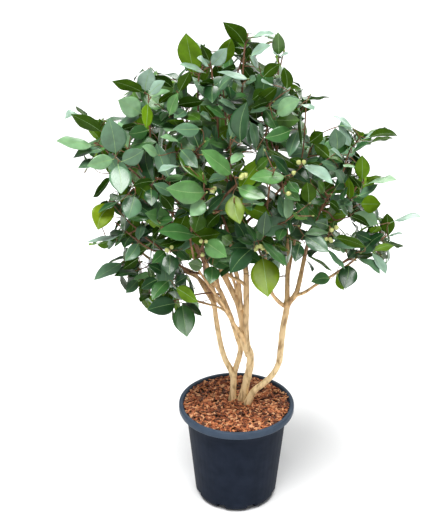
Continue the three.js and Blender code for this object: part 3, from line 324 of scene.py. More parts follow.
# The crown's outline and the gaps in it that the sky shows through, in the same measure.
OUTLINE = [
    (56, 141), (66, 135), (88, 143), (96, 141), (90, 128), (76, 118), (66, 116), (76, 105), (85, 114),
    (97, 117), (108, 118), (124, 120), (118, 107), (120, 97), (133, 92), (112, 84), (121, 79), (134, 82),
    (137, 72), (155, 66), (160, 72), (172, 78), (178, 77), (185, 70), (180, 53), (180, 44), (186, 33),
    (194, 43), (203, 43), (212, 53), (218, 48), (225, 47), (230, 38), (223, 23), (234, 22), (245, 33),
    (265, 33), (279, 32), (284, 42), (288, 54), (281, 62), (286, 69), (290, 84), (304, 86), (304, 97),
    (321, 96), (332, 97), (310, 102), (316, 109), (306, 112), (304, 136), (314, 131), (323, 134),
    (330, 135), (335, 128), (338, 126), (333, 116), (340, 116), (351, 124), (361, 134), (378, 129),
    (388, 128), (398, 138), (371, 143), (362, 147), (353, 156), (362, 154), (367, 162), (366, 172),
    (364, 180), (376, 176), (392, 178), (398, 182), (377, 184), (366, 196), (376, 197), (381, 205),
    (374, 213), (378, 216), (388, 213), (391, 222), (389, 232), (388, 240), (399, 243), (404, 248),
    (388, 251), (388, 262), (380, 272), (372, 258), (356, 262), (348, 258), (346, 252), (338, 255),
    (331, 255), (322, 250), (314, 249), (304, 243), (302, 254), (296, 260), (289, 253), (287, 270),
    (277, 262), (277, 278), (266, 297), (253, 281), (251, 262), (230, 273), (211, 284), (203, 271),
    (196, 262), (181, 262), (189, 276), (197, 290), (197, 300), (201, 316), (193, 313), (186, 337),
    (176, 326), (175, 311), (160, 314), (147, 310), (139, 302), (138, 291), (124, 290), (127, 280),
    (113, 276), (94, 280), (100, 266), (121, 261), (118, 252), (107, 250), (87, 243), (110, 235),
    (112, 227), (98, 229), (93, 216), (97, 205), (109, 197), (94, 196), (112, 176), (104, 169), (77, 169),
    (86, 165), (73, 157), (84, 149),
]
GAPS = [
    (190, 89, 4), (202, 89, 2), (189, 113, 2), (236, 90, 3), (261, 120, 2), (270, 124, 2), (248, 137, 4),
    (232, 136, 2), (235, 144, 2), (249, 156, 5), (250, 169, 4), (230, 184, 4), (266, 187, 2), (143, 194, 3),
    (158, 176, 4), (197, 133, 2), (181, 204, 3), (178, 210, 2), (177, 220, 3), (152, 225, 2), (164, 240, 2),
    (146, 241, 3), (144, 261, 4), (131, 226, 3), (184, 221, 2), (187, 247, 2), (221, 225, 4), (223, 206, 3),
    (231, 223, 2), (252, 222, 5), (206, 232, 2), (272, 218, 2), (274, 233, 4), (303, 228, 5), (222, 271, 3),
    (299, 220, 1), (345, 222, 5), (362, 227, 3), (337, 262, 4), (330, 195, 2), (339, 195, 3), (266, 119, 3),
    (321, 157, 3), (306, 150, 3), (353, 172, 3), (158, 117, 1), (188, 114, 2), (170, 210, 2), (246, 285, 2),
    (226, 285, 5), (240, 296, 5), (262, 41, 4), (269, 41, 3), (255, 40, 3), (269, 53, 6), (261, 56, 4),
    (274, 57, 4), (265, 60, 4), (271, 62, 3), (251, 64, 2), (237, 63, 3), (111, 188, 6), (106, 194, 4),
    (122, 116, 5), (83, 159, 4), (112, 222, 6), (119, 218, 4), (117, 253, 6), (149, 255, 3), (145, 269, 4),
    (350, 228, 6), (343, 227, 5), (303, 96, 3), (308, 124, 5), (236, 65, 3), (248, 163, 3), (120, 247, 3),
    (104, 232, 4), (155, 213, 3), (192, 96, 3), (229, 62, 2), (240, 75, 2), (282, 118, 2), (218, 65, 2),
]

LEAVES_MORE = 2.0                 # leaves here for each leaf of the solids
FILL_TRIES = 15000                # tries at leaves that close the front behind its foremost ones,
FILL_ENOUGH = 0.012               # till no more than this share of it is open
MAY_SHOW = 3                      # of a leaf's 55 dense samples, past the outline or in a gap
TWIGS_MORE = 1                    # finer side twigs added to each spray
LEAF_LENGTH = (74, 112)
LEAF_SLENDER, LEAF_BROAD = 0.46, 0.60
LEAF_THICK = 0.7
LEAF_TURN = 2.4                   # radians from one leaf of a twig to the next
WHOLE_TURN = 6.28
FRONT_SHORTEST, FRONT_LONGEST = 60, 124
FRONT_BROAD = 0.52                # a front leaf's width, by its length
LONGER_THAN_SEEN = (1.04, 1.14)   # a leaf leans from the view, so it is longer than it shows
ROOM_BEHIND = 12                  # mm that other leaves keep behind a front leaf
TURNED_SHARE = 0.25               # the share of the fill leaves that show their undersides
TWIG_REACH = 75                   # longest twig of a fill leaf
LET_IN = 9                        # how far a leaf may lean into the next spray's space


# ---- small tools ------------------------------------------------------------------------

def mix(a, b, t):
    return a + (b - a) * t


def seeded(seed):
    state = [seed]

    def draw():
        state[0] = (state[0] * 1664525 + 1013904223) % 4294967296
        return state[0] / 4294967296
    return draw


def graded(a, b, steps):
    return [mix(a, b, k / steps) for k in range(steps + 1)]


def spread(random, sink=0.5):
    """A short vector of chance direction."""
    return Vector((random() - 0.5, random() - 0.5, random() - sink))


def on_circle(radius, turn, z=0.0):
    return Vector((radius * math.cos(turn), radius * math.sin(turn), z))


def ring_point(centre, side, other, radius, turn):
    return centre + side * (radius * math.cos(turn)) + other * (radius * math.sin(turn))


def numbers(vector):
    return np.array(tuple(vector))


def squared(wanted, direction):
    """A unit vector at right angles to direction, as near to wanted as that allows."""
    v = wanted - direction * wanted.dot(direction)
    if v.length < 0.05:
        v = direction.cross(UP if abs(direction.z) < 0.9 else Vector((1, 0, 0)))
    return v.normalized()


def seen(points):
    """Where the camera sees each point, across and down, and how far ahead of it the point is."""
    d = np.asarray(points, float).reshape(-1, 3) - numbers(EYE)
    ahead = d[:, 1] * math.cos(TILT) - d[:, 2] * math.sin(TILT)
    up = d[:, 1] * math.sin(TILT) + d[:, 2] * math.cos(TILT)
    across, down = MIDDLE[0] + FOCAL * d[:, 0] / ahead, MIDDLE[1] - FOCAL * up / ahead
    return np.column_stack([across, down, ahead])


def sight(u, v):
    """The way from the camera to what it sees at (u, v)."""
    a, b = (u - MIDDLE[0]) / FOCAL, (MIDDLE[1] - v) / FOCAL
    return Vector((a, math.cos(TILT) + b * math.sin(TILT), b * math.cos(TILT) - math.sin(TILT)))


def put(u, v, depth):
    """The point that the camera sees at (u, v), at a depth given as its Y."""
    way = sight(u, v)
    return EYE + way * ((depth - EYE.y) / way.y)


def front_depth(u, v):
    """Y of the crown's rounded front where the camera sees (u, v)."""
    bulge = 1 - ((u - 238) / 195) ** 2 - ((v - 165) / 160) ** 2
    return 25 - 290 * math.sqrt(max(0, bulge))


def catmull(points, t):
    """The uniform Catmull-Rom curve through the points, its ends reflected, as in the source."""
    last = len(points) - 1
    span = min(int(t * last), last - 1)
    u = t * last - span
    p = [points[0] * 2 - points[1]] + points + [points[-1] * 2 - points[-2]]
    a, b, c, d = p[span:span + 4]
    return 0.5 * (2 * b + (c - a) * u + (2 * a - 5 * b + 4 * c - d) * u * u
                  + (3 * b - a - 3 * c + d) * u ** 3)


def curve(points, steps):
    return [catmull(points, k / steps) for k in range(steps + 1)]


def run_length(path):
    return sum((b - a).length for a, b in zip(path, path[1:]))


def band(a, b, sides, turned=False):
    """Four-sided faces between the ring of points that starts at a and the one at b."""
    quads = [(a + k, a + (k + 1) % sides, b + (k + 1) % sides, b + k) for k in range(sides)]
    return [q[:1] + q[:0:-1] for q in quads] if turned else quads


class Heap:
    """Points, faces and each face's material, gathered for one joined piece."""

    def __init__(self):
        self.points, self.faces, self.marks, self.size = [], [], [], 0

    def add(self, points, faces, marks):
        if not isinstance(points, np.ndarray):
            points = np.array([tuple(p) for p in points], float)
        self.points.append(points)
        self.faces.extend(tuple(k + self.size for k in face) for face in faces)
        self.marks.extend([marks] * len(faces) if isinstance(marks, int) else marks)
        self.size += len(points)

    def make(self, name, materials, slot, nodes, smooth=True):
        mesh = bpy.data.meshes.new(name)
        mesh.from_pydata((np.vstack(self.points) * MM).tolist(), [], self.faces)
        for material in materials:
            mesh.materials.append(material)
        mesh.polygons.foreach_set("material_index", self.marks)
        mesh.polygons.foreach_set("use_smooth", [smooth] * len(self.faces))
        mesh.update()
        piece = bpy.data.objects.new(name, mesh)
        bpy.context.scene.collection.objects.link(piece)
        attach(piece, "root")
        if nodes:
            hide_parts(*nodes)


def tube(heap, path, radii, sides, cap_start=True, wobble=None):
    """A tube along the path; wobble(turn, point) scales the radius."""
    rings, side = [], None
    last = len(path) - 1
    for i, p in enumerate(path):
        direction = (path[min(i + 1, last)] - path[max(i - 1, 0)]).normalized()
        side = squared(side or Vector((1, 0, 0)), direction)
        other = direction.cross(side)
        for k in range(sides):
            turn = 2 * math.pi * k / sides
            radius = radii[i] * (wobble(turn, p) if wobble else 1)
            rings.append(ring_point(p, side, other, radius, turn))
    faces = [face for i in range(last) for face in band(i * sides, (i + 1) * sides, sides)]
    if cap_start:
        faces.append(tuple(reversed(range(sides))))
    faces.append(tuple(range(last * sides, (last + 1) * sides)))
    heap.add(rings, faces, 0)


# ---- materials --------------------------------------------------------------------------

def material(name, roughness):
    m = bpy.data.materials.new(name)
    m.use_nodes = True
    shader = m.node_tree.nodes["Principled BSDF"]
    shader.inputs["Roughness"].default_value = roughness
    return m, m.node_tree.nodes, m.node_tree.links, shader


def noise_node(nodes, links, scale, detail, stretch=(1, 1, 1)):
    n = nodes.new("ShaderNodeTexNoise")
    n.inputs["Scale"].default_value = scale
    n.inputs["Detail"].default_value = detail
    coords = nodes.new("ShaderNodeTexCoord")
    mapping = nodes.new("ShaderNodeMapping")
    mapping.inputs["Scale"].default_value = stretch
    links.new(coords.outputs["Object"], mapping.inputs["Vector"])
    links.new(mapping.outputs["Vector"], n.inputs["Vector"])
    return n


def ramp(nodes, links, source, stops):
    r = nodes.new("ShaderNodeValToRGB")
    while len(r.color_ramp.elements) < len(stops):
        r.color_ramp.elements.new(0.5)
    for element, (at, colour) in zip(r.color_ramp.elements, stops):
        element.position = at
        element.color = (*colour, 1)
    links.new(source, r.inputs["Fac"])
    return r


def bump(nodes, links, shader, source, distance, strength):
    b = nodes.new("ShaderNodeBump")
    b.inputs["Distance"].default_value = distance
    b.inputs["Strength"].default_value = strength
    links.new(source, b.inputs["Height"])
    links.new(b.outputs["Normal"], shader.inputs["Normal"])


def shade(colour, k):
    return tuple(min(1, c * k) for c in colour)


def leaf_material(name, colour, roughness, gloss):
    m, nodes, links, shader = material(name, roughness)
    shader.inputs["Specular IOR Level"].default_value = gloss
    mottle = noise_node(nodes, links, 38, 3)
    stops = [(0.35, shade(colour, 0.82)), (0.65, shade(colour, 1.18))]
    r = ramp(nodes, links, mottle.outputs["Fac"], stops)
    links.new(r.outputs["Color"], shader.inputs["Base Color"])
    fine = noise_node(nodes, links, 420, 2)
    bump(nodes, links, shader, fine.outputs["Fac"], 0.0004, 0.5)
    return m


# The palest top tint is a painted sheen: the whitish blue-green that leaves facing up show where they
# reflect the bright sky, given as their base colour.
TOP_TINTS = {
    "deep": (0.019, 0.073, 0.021), "blue": (0.080, 0.165, 0.088), "mid": (0.042, 0.132, 0.031),
    "moss": (0.051, 0.130, 0.011), "bright": (0.088, 0.220, 0.060), "sage": (0.086, 0.182, 0.095),
    "light": (0.178, 0.330, 0.160), "pale": (0.245, 0.375, 0.285), "yellow": (0.138, 0.212, 0.009),
    "mottle": (0.150, 0.222, 0.032),
}
# Of the underside tints, the olive one is the underside's own colour; the bright yellow-green one is that
# underside brightened with painted light shining through the blade, and the darkest one is a darker copy of
# it, painted shade.
UNDER_TINTS = {
    "olive": (0.040, 0.095, 0.0008), "lime": (0.115, 0.225, 0.006), "dusk": (0.021, 0.060, 0.0006),
}
SPENT_TINTS = ("yellow", "mottle")       # matt, and alike on both sides
# The undersides are dealt among their own colour, its painted backlit copy and its painted shaded copy.
UNDER_SHARES = ("olive", "dusk", "olive", "lime")
BACK_SHARES = ("olive", "dusk", "lime", "olive")
tints = list(TOP_TINTS) + list(UNDER_TINTS)
leaf_materials = [leaf_material("leaf_" + n, c, 0.28, 0.12 if n in SPENT_TINTS else 0.50)
                  for n, c in TOP_TINTS.items()]
leaf_materials += [leaf_material("leaf_" + n, c, 0.50, 0.12) for n, c in UNDER_TINTS.items()]
leaf_materials.append(leaf_material("leaf_rib", (0.24, 0.38, 0.15), 0.45, 0.2))
RIB = len(tints)


def bark_material(name, low, high, from_z, to_z):
    m, nodes, links, shader = material(name, 0.62)
    geometry = nodes.new("ShaderNodeNewGeometry")
    split = nodes.new("ShaderNodeSeparateXYZ")
    links.new(geometry.outputs["Position"], split.inputs["Vector"])
    rise = nodes.new("ShaderNodeMapRange")
    rise.inputs["From Min"].default_value = from_z
    rise.inputs["From Max"].default_value = to_z
    links.new(split.outputs["Z"], rise.inputs["Value"])
    by_height = ramp(nodes, links, rise.outputs["Result"], [(0, low), (1, high)])
    streaks = noise_node(nodes, links, 95, 5, stretch=(1, 1, 0.30))
    stops = [(0.35, (0.42, 0.31, 0.20)), (0.45, (0.86, 0.80, 0.72)), (0.55, (1.15, 1.13, 1.09))]
    mottled = ramp(nodes, links, streaks.outputs["Fac"], stops)
    product = nodes.new("ShaderNodeMix")
    product.data_type = "RGBA"
    product.blend_type = "MULTIPLY"
    product.inputs["Factor"].default_value = 0.8
    links.new(by_height.outputs["Color"], product.inputs["A"])
    links.new(mottled.outputs["Color"], product.inputs["B"])
    links.new(product.outputs["Result"], shader.inputs["Base Color"])
    bump(nodes, links, shader, streaks.outputs["Fac"], 0.0012, 0.7)
    return m


pale_bark = bark_material("bark_pale", (0.83, 0.64, 0.36), (0.50, 0.29, 0.13), 0.48, 0.85)
brown_bark = bark_material("bark_brown", (0.74, 0.50, 0.25), (0.20, 0.085, 0.035), 0.66, 0.98)
twig_bark = bark_material("bark_twig", (0.20, 0.095, 0.042), (0.15, 0.068, 0.030), 0.80, 1.40)


def plain_material(name, colours, scale, roughness, depth):
    m, nodes, links, shader = material(name, roughness)
    n = noise_node(nodes, links, scale, 4)
    count = len(colours) - 1
    stops = [(0.3 + 0.4 * i / count, c) for i, c in enumerate(colours)]
    r = ramp(nodes, links, n.outputs["Fac"], stops)
    links.new(r.outputs["Color"], shader.inputs["Base Color"])
    bump(nodes, links, shader, n.outputs["Fac"], depth, 0.8)
    return m


POT_COLOURS = [(0.0075, 0.012, 0.022), (0.0125, 0.018, 0.032)]
# The rim's colours are a lighter copy of the pot's plastic: a painted highlight of the light that the lip
# catches.
LIT_RIM_COLOURS = [(0.040, 0.058, 0.088), (0.056, 0.078, 0.112)]
pot_plastic = plain_material("pot_plastic", POT_COLOURS, 25, 0.55, 0.0002)
lit_rim_plastic = plain_material("lit_rim_plastic", LIT_RIM_COLOURS, 25, 0.40, 0.0002)
for m in (pot_plastic, lit_rim_plastic):
    m.node_tree.nodes["Principled BSDF"].inputs["Specular IOR Level"].default_value = 0.05
soil_dark = plain_material("soil_dark", [(0.03, 0.014, 0.008), (0.10, 0.045, 0.022)], 90, 0.9, 0.002)
CHIPS = [[(0.18, 0.048, 0.018), (0.28, 0.080, 0.030)], [(0.32, 0.088, 0.030), (0.46, 0.14, 0.050)],
         [(0.48, 0.155, 0.055), (0.66, 0.25, 0.095)], [(0.060, 0.020, 0.010), (0.13, 0.042, 0.020)],
         [(0.60, 0.28, 0.13), (0.80, 0.42, 0.21)]]
chip_materials = [plain_material(f"chip_{i}", c, 160, 0.8, 0.0006) for i, c in enumerate(CHIPS)]
bud_scale = plain_material("bud_scale", [(0.34, 0.38, 0.10), (0.55, 0.56, 0.22)], 300, 0.45, 0.0002)
bud_green = plain_material("bud_green", [(0.16, 0.22, 0.05), (0.30, 0.34, 0.10)], 300, 0.45, 0.0002)

# ---- limbs ------------------------------------------------------------------------------

STEM_NAMES = [n for n in LIMBS if n.endswith(("stem", "foot"))]
STEM_SIDES, BOUGH_SIDES = 18, 14
STEP = 6                          # mm along a limb from one ring or bead to the next
JOINTS_APART = (34, 75)           # mm between the swollen joints of the bark
JOINT_LONG, JOINT_SWELL = 3.4, 0.07
FLARE, FOOT_FLARE_LONG, FORK_FLARE_LONG = 0.34, 15, 9

limbs = {}
for name, row in LIMBS.items():
    if "foot" in row:
        start = Vector((*row["foot"], SOIL_TOP))
    else:
        carrier, share = row["start"]
        start = catmull(limbs[carrier]["knots"], share)
    knots = [start] + [Vector(p) for p in row["through"]]
    limbs[name] = dict(knots=knots, radii=row["radii"], foot="foot" in row)


def along_limb(name, t):
    return catmull(limbs[name]["knots"], t)


def beads(path, sizes, step):
    out = []
    for a, b, ra, rb in zip(path, path[1:], sizes, sizes[1:]):
        count = max(1, math.ceil((b - a).length / step))
        out += [(*a.lerp(b, k / count), mix(ra, rb, k / count)) for k in range(count + 1)]
    return out


limb_beads = []
stem_heap, bough_heap = Heap(), Heap()
for index, (name, limb) in enumerate(limbs.items()):
    knots, (r0, r1) = limb["knots"], limb["radii"]
    length = run_length(knots)
    steps = max(8, round(length / STEP))
    path = curve(knots, steps)
    limb_beads += beads(path, graded(r0, r1, steps), STEP)
    random = seeded(50 + index)
    joints, at = [], 30 * random()
    while at < length:
        joints.append(at)
        at += mix(*JOINTS_APART, random())
    sizes = []
    for i in range(steps + 1):
        here = length * i / steps
        swell = sum(math.exp(-((here - j) / JOINT_LONG) ** 2) for j in joints)
        flare = FLARE * math.exp(-here / (FOOT_FLARE_LONG if limb["foot"] else FORK_FLARE_LONG))
        if name in ("right_stem", "leader"):
            flare = 0
        sizes.append(mix(r0, r1, i / steps) * (1 + flare + JOINT_SWELL * swell))
    if limb["foot"]:
        path[0] = path[0] - UP * 6

    def rough(turn, p, seed=index):
        q = on_circle(0.9, turn, p.z * 0.045 + seed * 7)
        return 1 + 0.09 * noise.noise(q) + 0.035 * noise.noise(q * 3.1)

    if name in STEM_NAMES:
        tube(stem_heap, path, sizes, STEM_SIDES, wobble=rough)
    else:
        tube(bough_heap, path, sizes, BOUGH_SIDES, wobble=rough)

# ---- the rule that grows a spray --------------------------------------------------------

sprays = []
for index, (name, row) in enumerate(SPRAYS.items()):
    limb, share, hub, reach, twigs, leaves = row
    start = along_limb(limb, share)
    hub = Vector(hub)
    distance = (hub - start).length
    tangent = (along_limb(limb, min(1, share + 0.004)) - along_limb(limb, share - 0.004)).normalized()
    bend = start + tangent * (distance * 0.35)
    steps = max(4, round(distance / 14))
    stem = [start * (1 - t) ** 2 + bend * (2 * t * (1 - t)) + hub * t * t
            for t in (i / steps for i in range(steps + 1))]
    sizes = graded(TWIG_START, TWIG_HUB, steps)
    sprays.append(dict(name=name, hub=hub, reach=reach, twigs=twigs, leaves=leaves, paths=[],
                       stem=stem, sizes=sizes, beads=beads(stem, sizes, 5),
                       random=seeded(1000 + 77 * index)))

HUBS = np.array([tuple(s["hub"]) for s in sprays])
REACHES = np.array([s["reach"] for s in sprays], float)


def in_own_space(which, points, let_in=LET_IN):
    """Whether the points lie nearer, by reach, to their spray's hub than to any other hub."""
    points = np.asarray(points, float).reshape(-1, 3)
    if points[:, 2].max() > CROWN_TOP:
        return False
    power = ((points[:, None, :] - HUBS[None]) ** 2).sum(2) - REACHES ** 2
    apart = np.linalg.norm(HUBS - HUBS[which], axis=1)
    ahead = power - power[:, which:which + 1] + 2 * let_in * apart
    ahead[:, which] = 1
    return bool((ahead > 0).all())


OUTLINE_S = (0, 0.03, 0.08, 0.15, 0.24, 0.34, 0.45, 0.56, 0.66, 0.75, 0.82, 0.88, 0.93, 0.97, 1)
OUTLINE_W = (0.03, 0.20, 0.42, 0.66, 0.86, 0.97, 1, 0.95, 0.83, 0.67, 0.50, 0.34, 0.20, 0.09, 0.02)


def half_width(s):
    """The blade's outline: half its width, by half its greatest, at a share s of its length."""
    return np.interp(s, OUTLINE_S, OUTLINE_W)


class Placed:
    """The leaves placed so far, to keep new ones out of them."""

    def __init__(self):
        self.rows = np.zeros((0, 14))

    def add(self, leaf):
        row = (*leaf["base"], *leaf["direction"], *leaf["side"], *leaf["normal"],
               leaf["length"], leaf["width"])
        self.rows = np.vstack([self.rows, row])

    def hits(self, points, room):
        """Whether any of the points lies in, or within room of, a placed blade."""
        r = self.rows
        d = points[:, None, :] - r[None, :, 0:3]
        s = (d * r[None, :, 3:6]).sum(2) / r[None, :, 12]
        w = np.abs((d * r[None, :, 6:9]).sum(2)) / (r[None, :, 13] / 2)
        h = (d * r[None, :, 9:12]).sum(2) - (0.03 * s - 0.07 * s ** 2) * r[None, :, 12]
        return bool(((s > 0.12) & (s < 1) & (w < half_width(s)) & (np.abs(h) < room)).any())


placed = Placed()
leaves_made = []                  # each with the number of the spray that it belongs to
twig_heap = Heap()
bud_heap = Heap()


def keep_leaf(which, leaf):
    placed.add(leaf)
    leaves_made.append((which, leaf))


def blade_samples(leaf):
    """Points over a blade, for the tests of where it lies."""
    out = []
    for s in (0.3, 0.5, 0.7, 0.9, 1.0):
        for w in ((-0.8, 0, 0.8) if s < 1 else (0,)):
            rise = (0.03 * s - 0.07 * s * s) * leaf["length"]
            out.append(leaf["base"] + leaf["direction"] * (s * leaf["length"])
                       + leaf["side"] * (w * half_width(s) * leaf["width"] / 2) + leaf["normal"] * rise)
    return np.array([tuple(p) for p in out])


DENSE_S = np.repeat(np.linspace(0.1, 1, 11), 5)[:, None]
DENSE_W = np.tile(np.array((-0.95, -0.5, 0, 0.5, 0.95)), 11)[:, None]


def over_blade(leaf, s, w):
    """Points over a blade, at shares s of its length and w of its half width there."""
    return (numbers(leaf["base"]) + numbers(leaf["direction"]) * (s * leaf["length"])
            + numbers(leaf["side"]) * (w * half_width(s) * leaf["width"] / 2))


def bead_hits(points, bead_rows):
    d = np.linalg.norm(points[:, None, :] - bead_rows[None, :, :3], axis=2)
    return bool((d < bead_rows[None, :, 3] + LEAF_CLEAR).any())


def make_leaf(base, direction, facing, length, width, tint):
    normal = squared(facing, direction)
    return dict(base=base, direction=direction, normal=normal, side=normal.cross(direction),
                length=length, width=width, tint=tint)


def facing_at(p, random):
    out = p - CROWN_HEART
    out.z *= 0.5
    out = out.normalized() * 0.75
    out.z += 0.5
    return out + spread(random) * 0.8


def dealt_tint(random):
    """One of the plant's common tints: dark and blue-green more often than bright."""
    pick = random()
    for tint, share in (("mid", 0.24), ("deep", 0.44), ("blue", 0.60), ("moss", 0.74),
                        ("sage", 0.85), ("bright", 0.95)):
        if pick < share:
            return tint
    return "light"


def grow_twig(spray, start, direction, length, r0, r1, random, lift=0.12):
    """A side twig that curves up a little, as the path that it follows."""
    steps = max(3, round(length / 12))
    path, here = [start], direction.copy()
    for _ in range(steps):
        here = (here + UP * (lift / steps) + spread(random) * 0.10).normalized()
        path.append(path[-1] + here * (length / steps))
    spray["paths"].append((path, graded(r0, r1, steps)))
    return path


def add_leaf(which, spray, leaf):
    """Keeps the leaf if there is room for it, and says whether there is."""
    points = blade_samples(leaf)
    tip = leaf["base"] + leaf["direction"] * leaf["length"]
    if (tip - spray["hub"]).length > spray["reach"] * OVERREACH or not front_open(leaf):
        return False
    if not in_own_space(which, points) or placed.hits(points, 5):
        return False
    if bead_hits(points[3:], spray["obstacles"]):
        return False
    keep_leaf(which, leaf)
    return True


def grow_spray(which, spray):
    random = spray["random"]
    hub, reach, stem = spray["hub"], spray["reach"], spray["stem"]
    others = [b for other in sprays if other is not spray for b in other["beads"]]
    near = [b for b in limb_beads + others if (Vector(b[:3]) - hub).length < reach + 60]
    spray["obstacles"] = np.array(near).reshape(-1, 4)
    spray["paths"].append((stem, spray["sizes"]))
    axis = (stem[-1] - stem[-4]).normalized() * 0.6 + (hub - CROWN_HEART).normalized() * 0.5 + UP * 0.3
    axis = (axis.normalized() + Vector((random() - 0.5, random() - 0.5, 0)) * 0.3).normalized()
    length = max(reach - mix(66, 52, random()), 24)
    while length > 24 and not in_own_space(which, hub + axis * length, -1):
        length -= 4
    main = grow_twig(spray, hub, axis, length, TWIG_HUB, TWIG_END, random, 0.05)
    # side twigs, finer and more than those of the solids
    ends = [main]
    wanted = spray["twigs"] - 1 + TWIGS_MORE
    for k in range(wanted * 6):
        if len(ends) > wanted:
            break
        source = main if k % 3 else stem[-max(3, len(stem) // 3):]
        i = min(len(source) - 2, int(random() * (len(source) - 1)))
        run = (source[i + 1] - source[i]).normalized()
        over = squared(spread(random), run)
        lean = math.radians(mix(38, 72, random()))
        way = (run * math.cos(lean) + over * math.sin(lean)).normalized()
        size = max(reach - mix(78, 60, random()), 26)
        if in_own_space(which, source[i] + way * size, 0):
            ends.append(grow_twig(spray, source[i], way, size, 1.7, 1.1, random))
    # leaves, one at each step of a twig, turned on from the last, and more towards its end
    target = round(spray["leaves"] * LEAVES_MORE)
    sites = []
    for path in ends:
        turn = random() * WHOLE_TURN
        for i in range(1, len(path)):
            run = (path[i] - path[i - 1]).normalized()
            sites.append((i / (len(path) - 1), path[i], run, squared(on_circle(1, turn, 0.3), run)))
            turn += LEAF_TURN
        for _ in range(2):
            turn += LEAF_TURN
            sites.append((1.2, path[-1], run, squared(on_circle(1, turn, 0.3), run)))
    for round_number in range(7):
        for level, p, run, side in sites:
            if target <= 0:
                break
            over = squared(side + spread(random) * (0.3 + 0.3 * round_number), run)
            lean = math.radians(mix(84, 44, min(level, 1.2)) * mix(0.75, 1.15, random()))
            way = run * math.cos(lean) + over * math.sin(lean)
            way.z -= 0.12
            size = mix(*LEAF_LENGTH, random()) * (1 - 0.05 * round_number)
            leaf = make_leaf(p, way.normalized(), facing_at(p, random), size,
                             size * mix(LEAF_SLENDER, LEAF_BROAD, random()), dealt_tint(random))
            if add_leaf(which, spray, leaf):
                target -= 1
    # a small pointed bud at the end of each twig
    for path in ends:
        add_bud(path[-1], (path[-1] - path[-2]).normalized(), 9, 2.3, 1)


def add_bud(base, way, length, radius, mark):
    """An egg-shaped bud of overlapping scales."""
    rows, sides = 7, 8
    side = squared(Vector((1, 0, 0)), way)
    other = way.cross(side)
    points, faces = [base], []
    for i in range(1, rows):
        s = i / rows
        r = radius * math.sin(math.pi * s ** 0.85) ** 0.8
        for k in range(sides):
            turn = 2 * math.pi * (k + 0.5 * (i % 2)) / sides
            lap = r * (1 + 0.10 * ((k + i) % 2))
            points.append(ring_point(base + way * (length * s), side, other, lap, turn))
    points.append(base + way * length)
    faces += [(0, 1 + (k + 1) % sides, 1 + k) for k in range(sides)]
    for i in range(rows - 2):
        faces += band(1 + i * sides, 1 + (i + 1) * sides, sides)
    a = 1 + (rows - 2) * sides
    faces += [(a + k, a + (k + 1) % sides, len(points) - 1) for k in range(sides)]
    bud_heap.add(points, faces, mark)


# ---- the leaves and twigs of the front ----------------------------------------------------

# Leaves in a tint of the underside turn that side to the front.
front_random = seeded(31)
front = []
for u0, v0, u1, v1, wide, tint, layer, *bow in FRONT_LEAVES:
    base = put(u0, v0, front_depth(u0, v0) + LAYER * layer)
    scale = FOCAL / seen([tuple(base)])[0, 2]
    shown = math.hypot(u1 - u0, v1 - v0) / scale
    length = shown * mix(*LONGER_THAN_SEEN, front_random())
    length = min(max(length, FRONT_SHORTEST), FRONT_LONGEST)
    way = sight(u1, v1).normalized()
    ahead = (base - EYE).dot(way)
    off = (base - EYE).length_squared - ahead ** 2
    tip = EYE + way * (ahead - math.sqrt(max(0, length ** 2 - off)))
    direction = (tip - base).normalized()
    length = (tip - base).length
    broad = length * FRONT_BROAD
    across_mm = wide / scale * SEEN_WIDER
    if across_mm < broad * 0.97:
        roll, width = math.acos(max(across_mm / broad, 0.14)), broad
    else:
        roll, width = 0, across_mm
    facing = squared((EYE - base).normalized(), direction) * (-1 if tint in UNDER_TINTS else 1)
    across = direction.cross(facing)
    turned = [facing * math.cos(roll) + across * (math.sin(roll) * k) for k in (1, -1)]
    leaf = make_leaf(base, direction, max(turned, key=lambda n: n.z), length, width, tint)
    leaf["arch"] = mix(0.05, 0.07, roll / 1.5)
    if bow:
        bow_u, bow_v = bow[0]
        leaf["bow"] = Vector((bow_u, bow_v * math.sin(TILT), -bow_v * math.cos(TILT))) / scale
        leaf["arch"] = 0.03
    distances = [(s["hub"] - base).length - s["reach"] for s in sprays]
    front.append((distances.index(min(distances)), leaf, (u0, v0, u1, v1, wide)))

FRONT = np.array([row for _, _, row in front], float)
MIDDLES = [tuple(leaf["base"] + leaf["direction"] * leaf["length"] * 0.5) for _, leaf, _ in front]
FRONT_AHEAD = seen(MIDDLES)[:, 2]
FRONT_ALONG = FRONT[:, 2:4] - FRONT[:, 0:2]
FRONT_LONG = np.linalg.norm(FRONT_ALONG, axis=1)
FRONT_ALONG /= FRONT_LONG[:, None]
EDGE_U, EDGE_V = np.array(OUTLINE, float).T[:, None, :]
NEXT_U, NEXT_V = np.roll(EDGE_U, -1), np.roll(EDGE_V, -1)
GAP_U, GAP_V, GAP_ROOM = np.array(GAPS, float).T[:, None, :]
DENSE_S = np.repeat(np.linspace(0.1, 1, 11), 5)[:, None]
DENSE_W = np.tile(np.array((-0.95, -0.5, 0, 0.5, 0.95)), 11)[:, None]


def inside_outline(u, v):
    spans = (EDGE_V > v) != (NEXT_V > v)
    rise = NEXT_V - EDGE_V
    slope = (NEXT_U - EDGE_U) / np.where(rise == 0, 1, rise)
    return (spans & (u < EDGE_U + (v - EDGE_V) * slope)).sum(1) % 2 == 1


def in_gap(u, v):
    return (np.hypot(u - GAP_U, v - GAP_V) < GAP_ROOM).any(1)


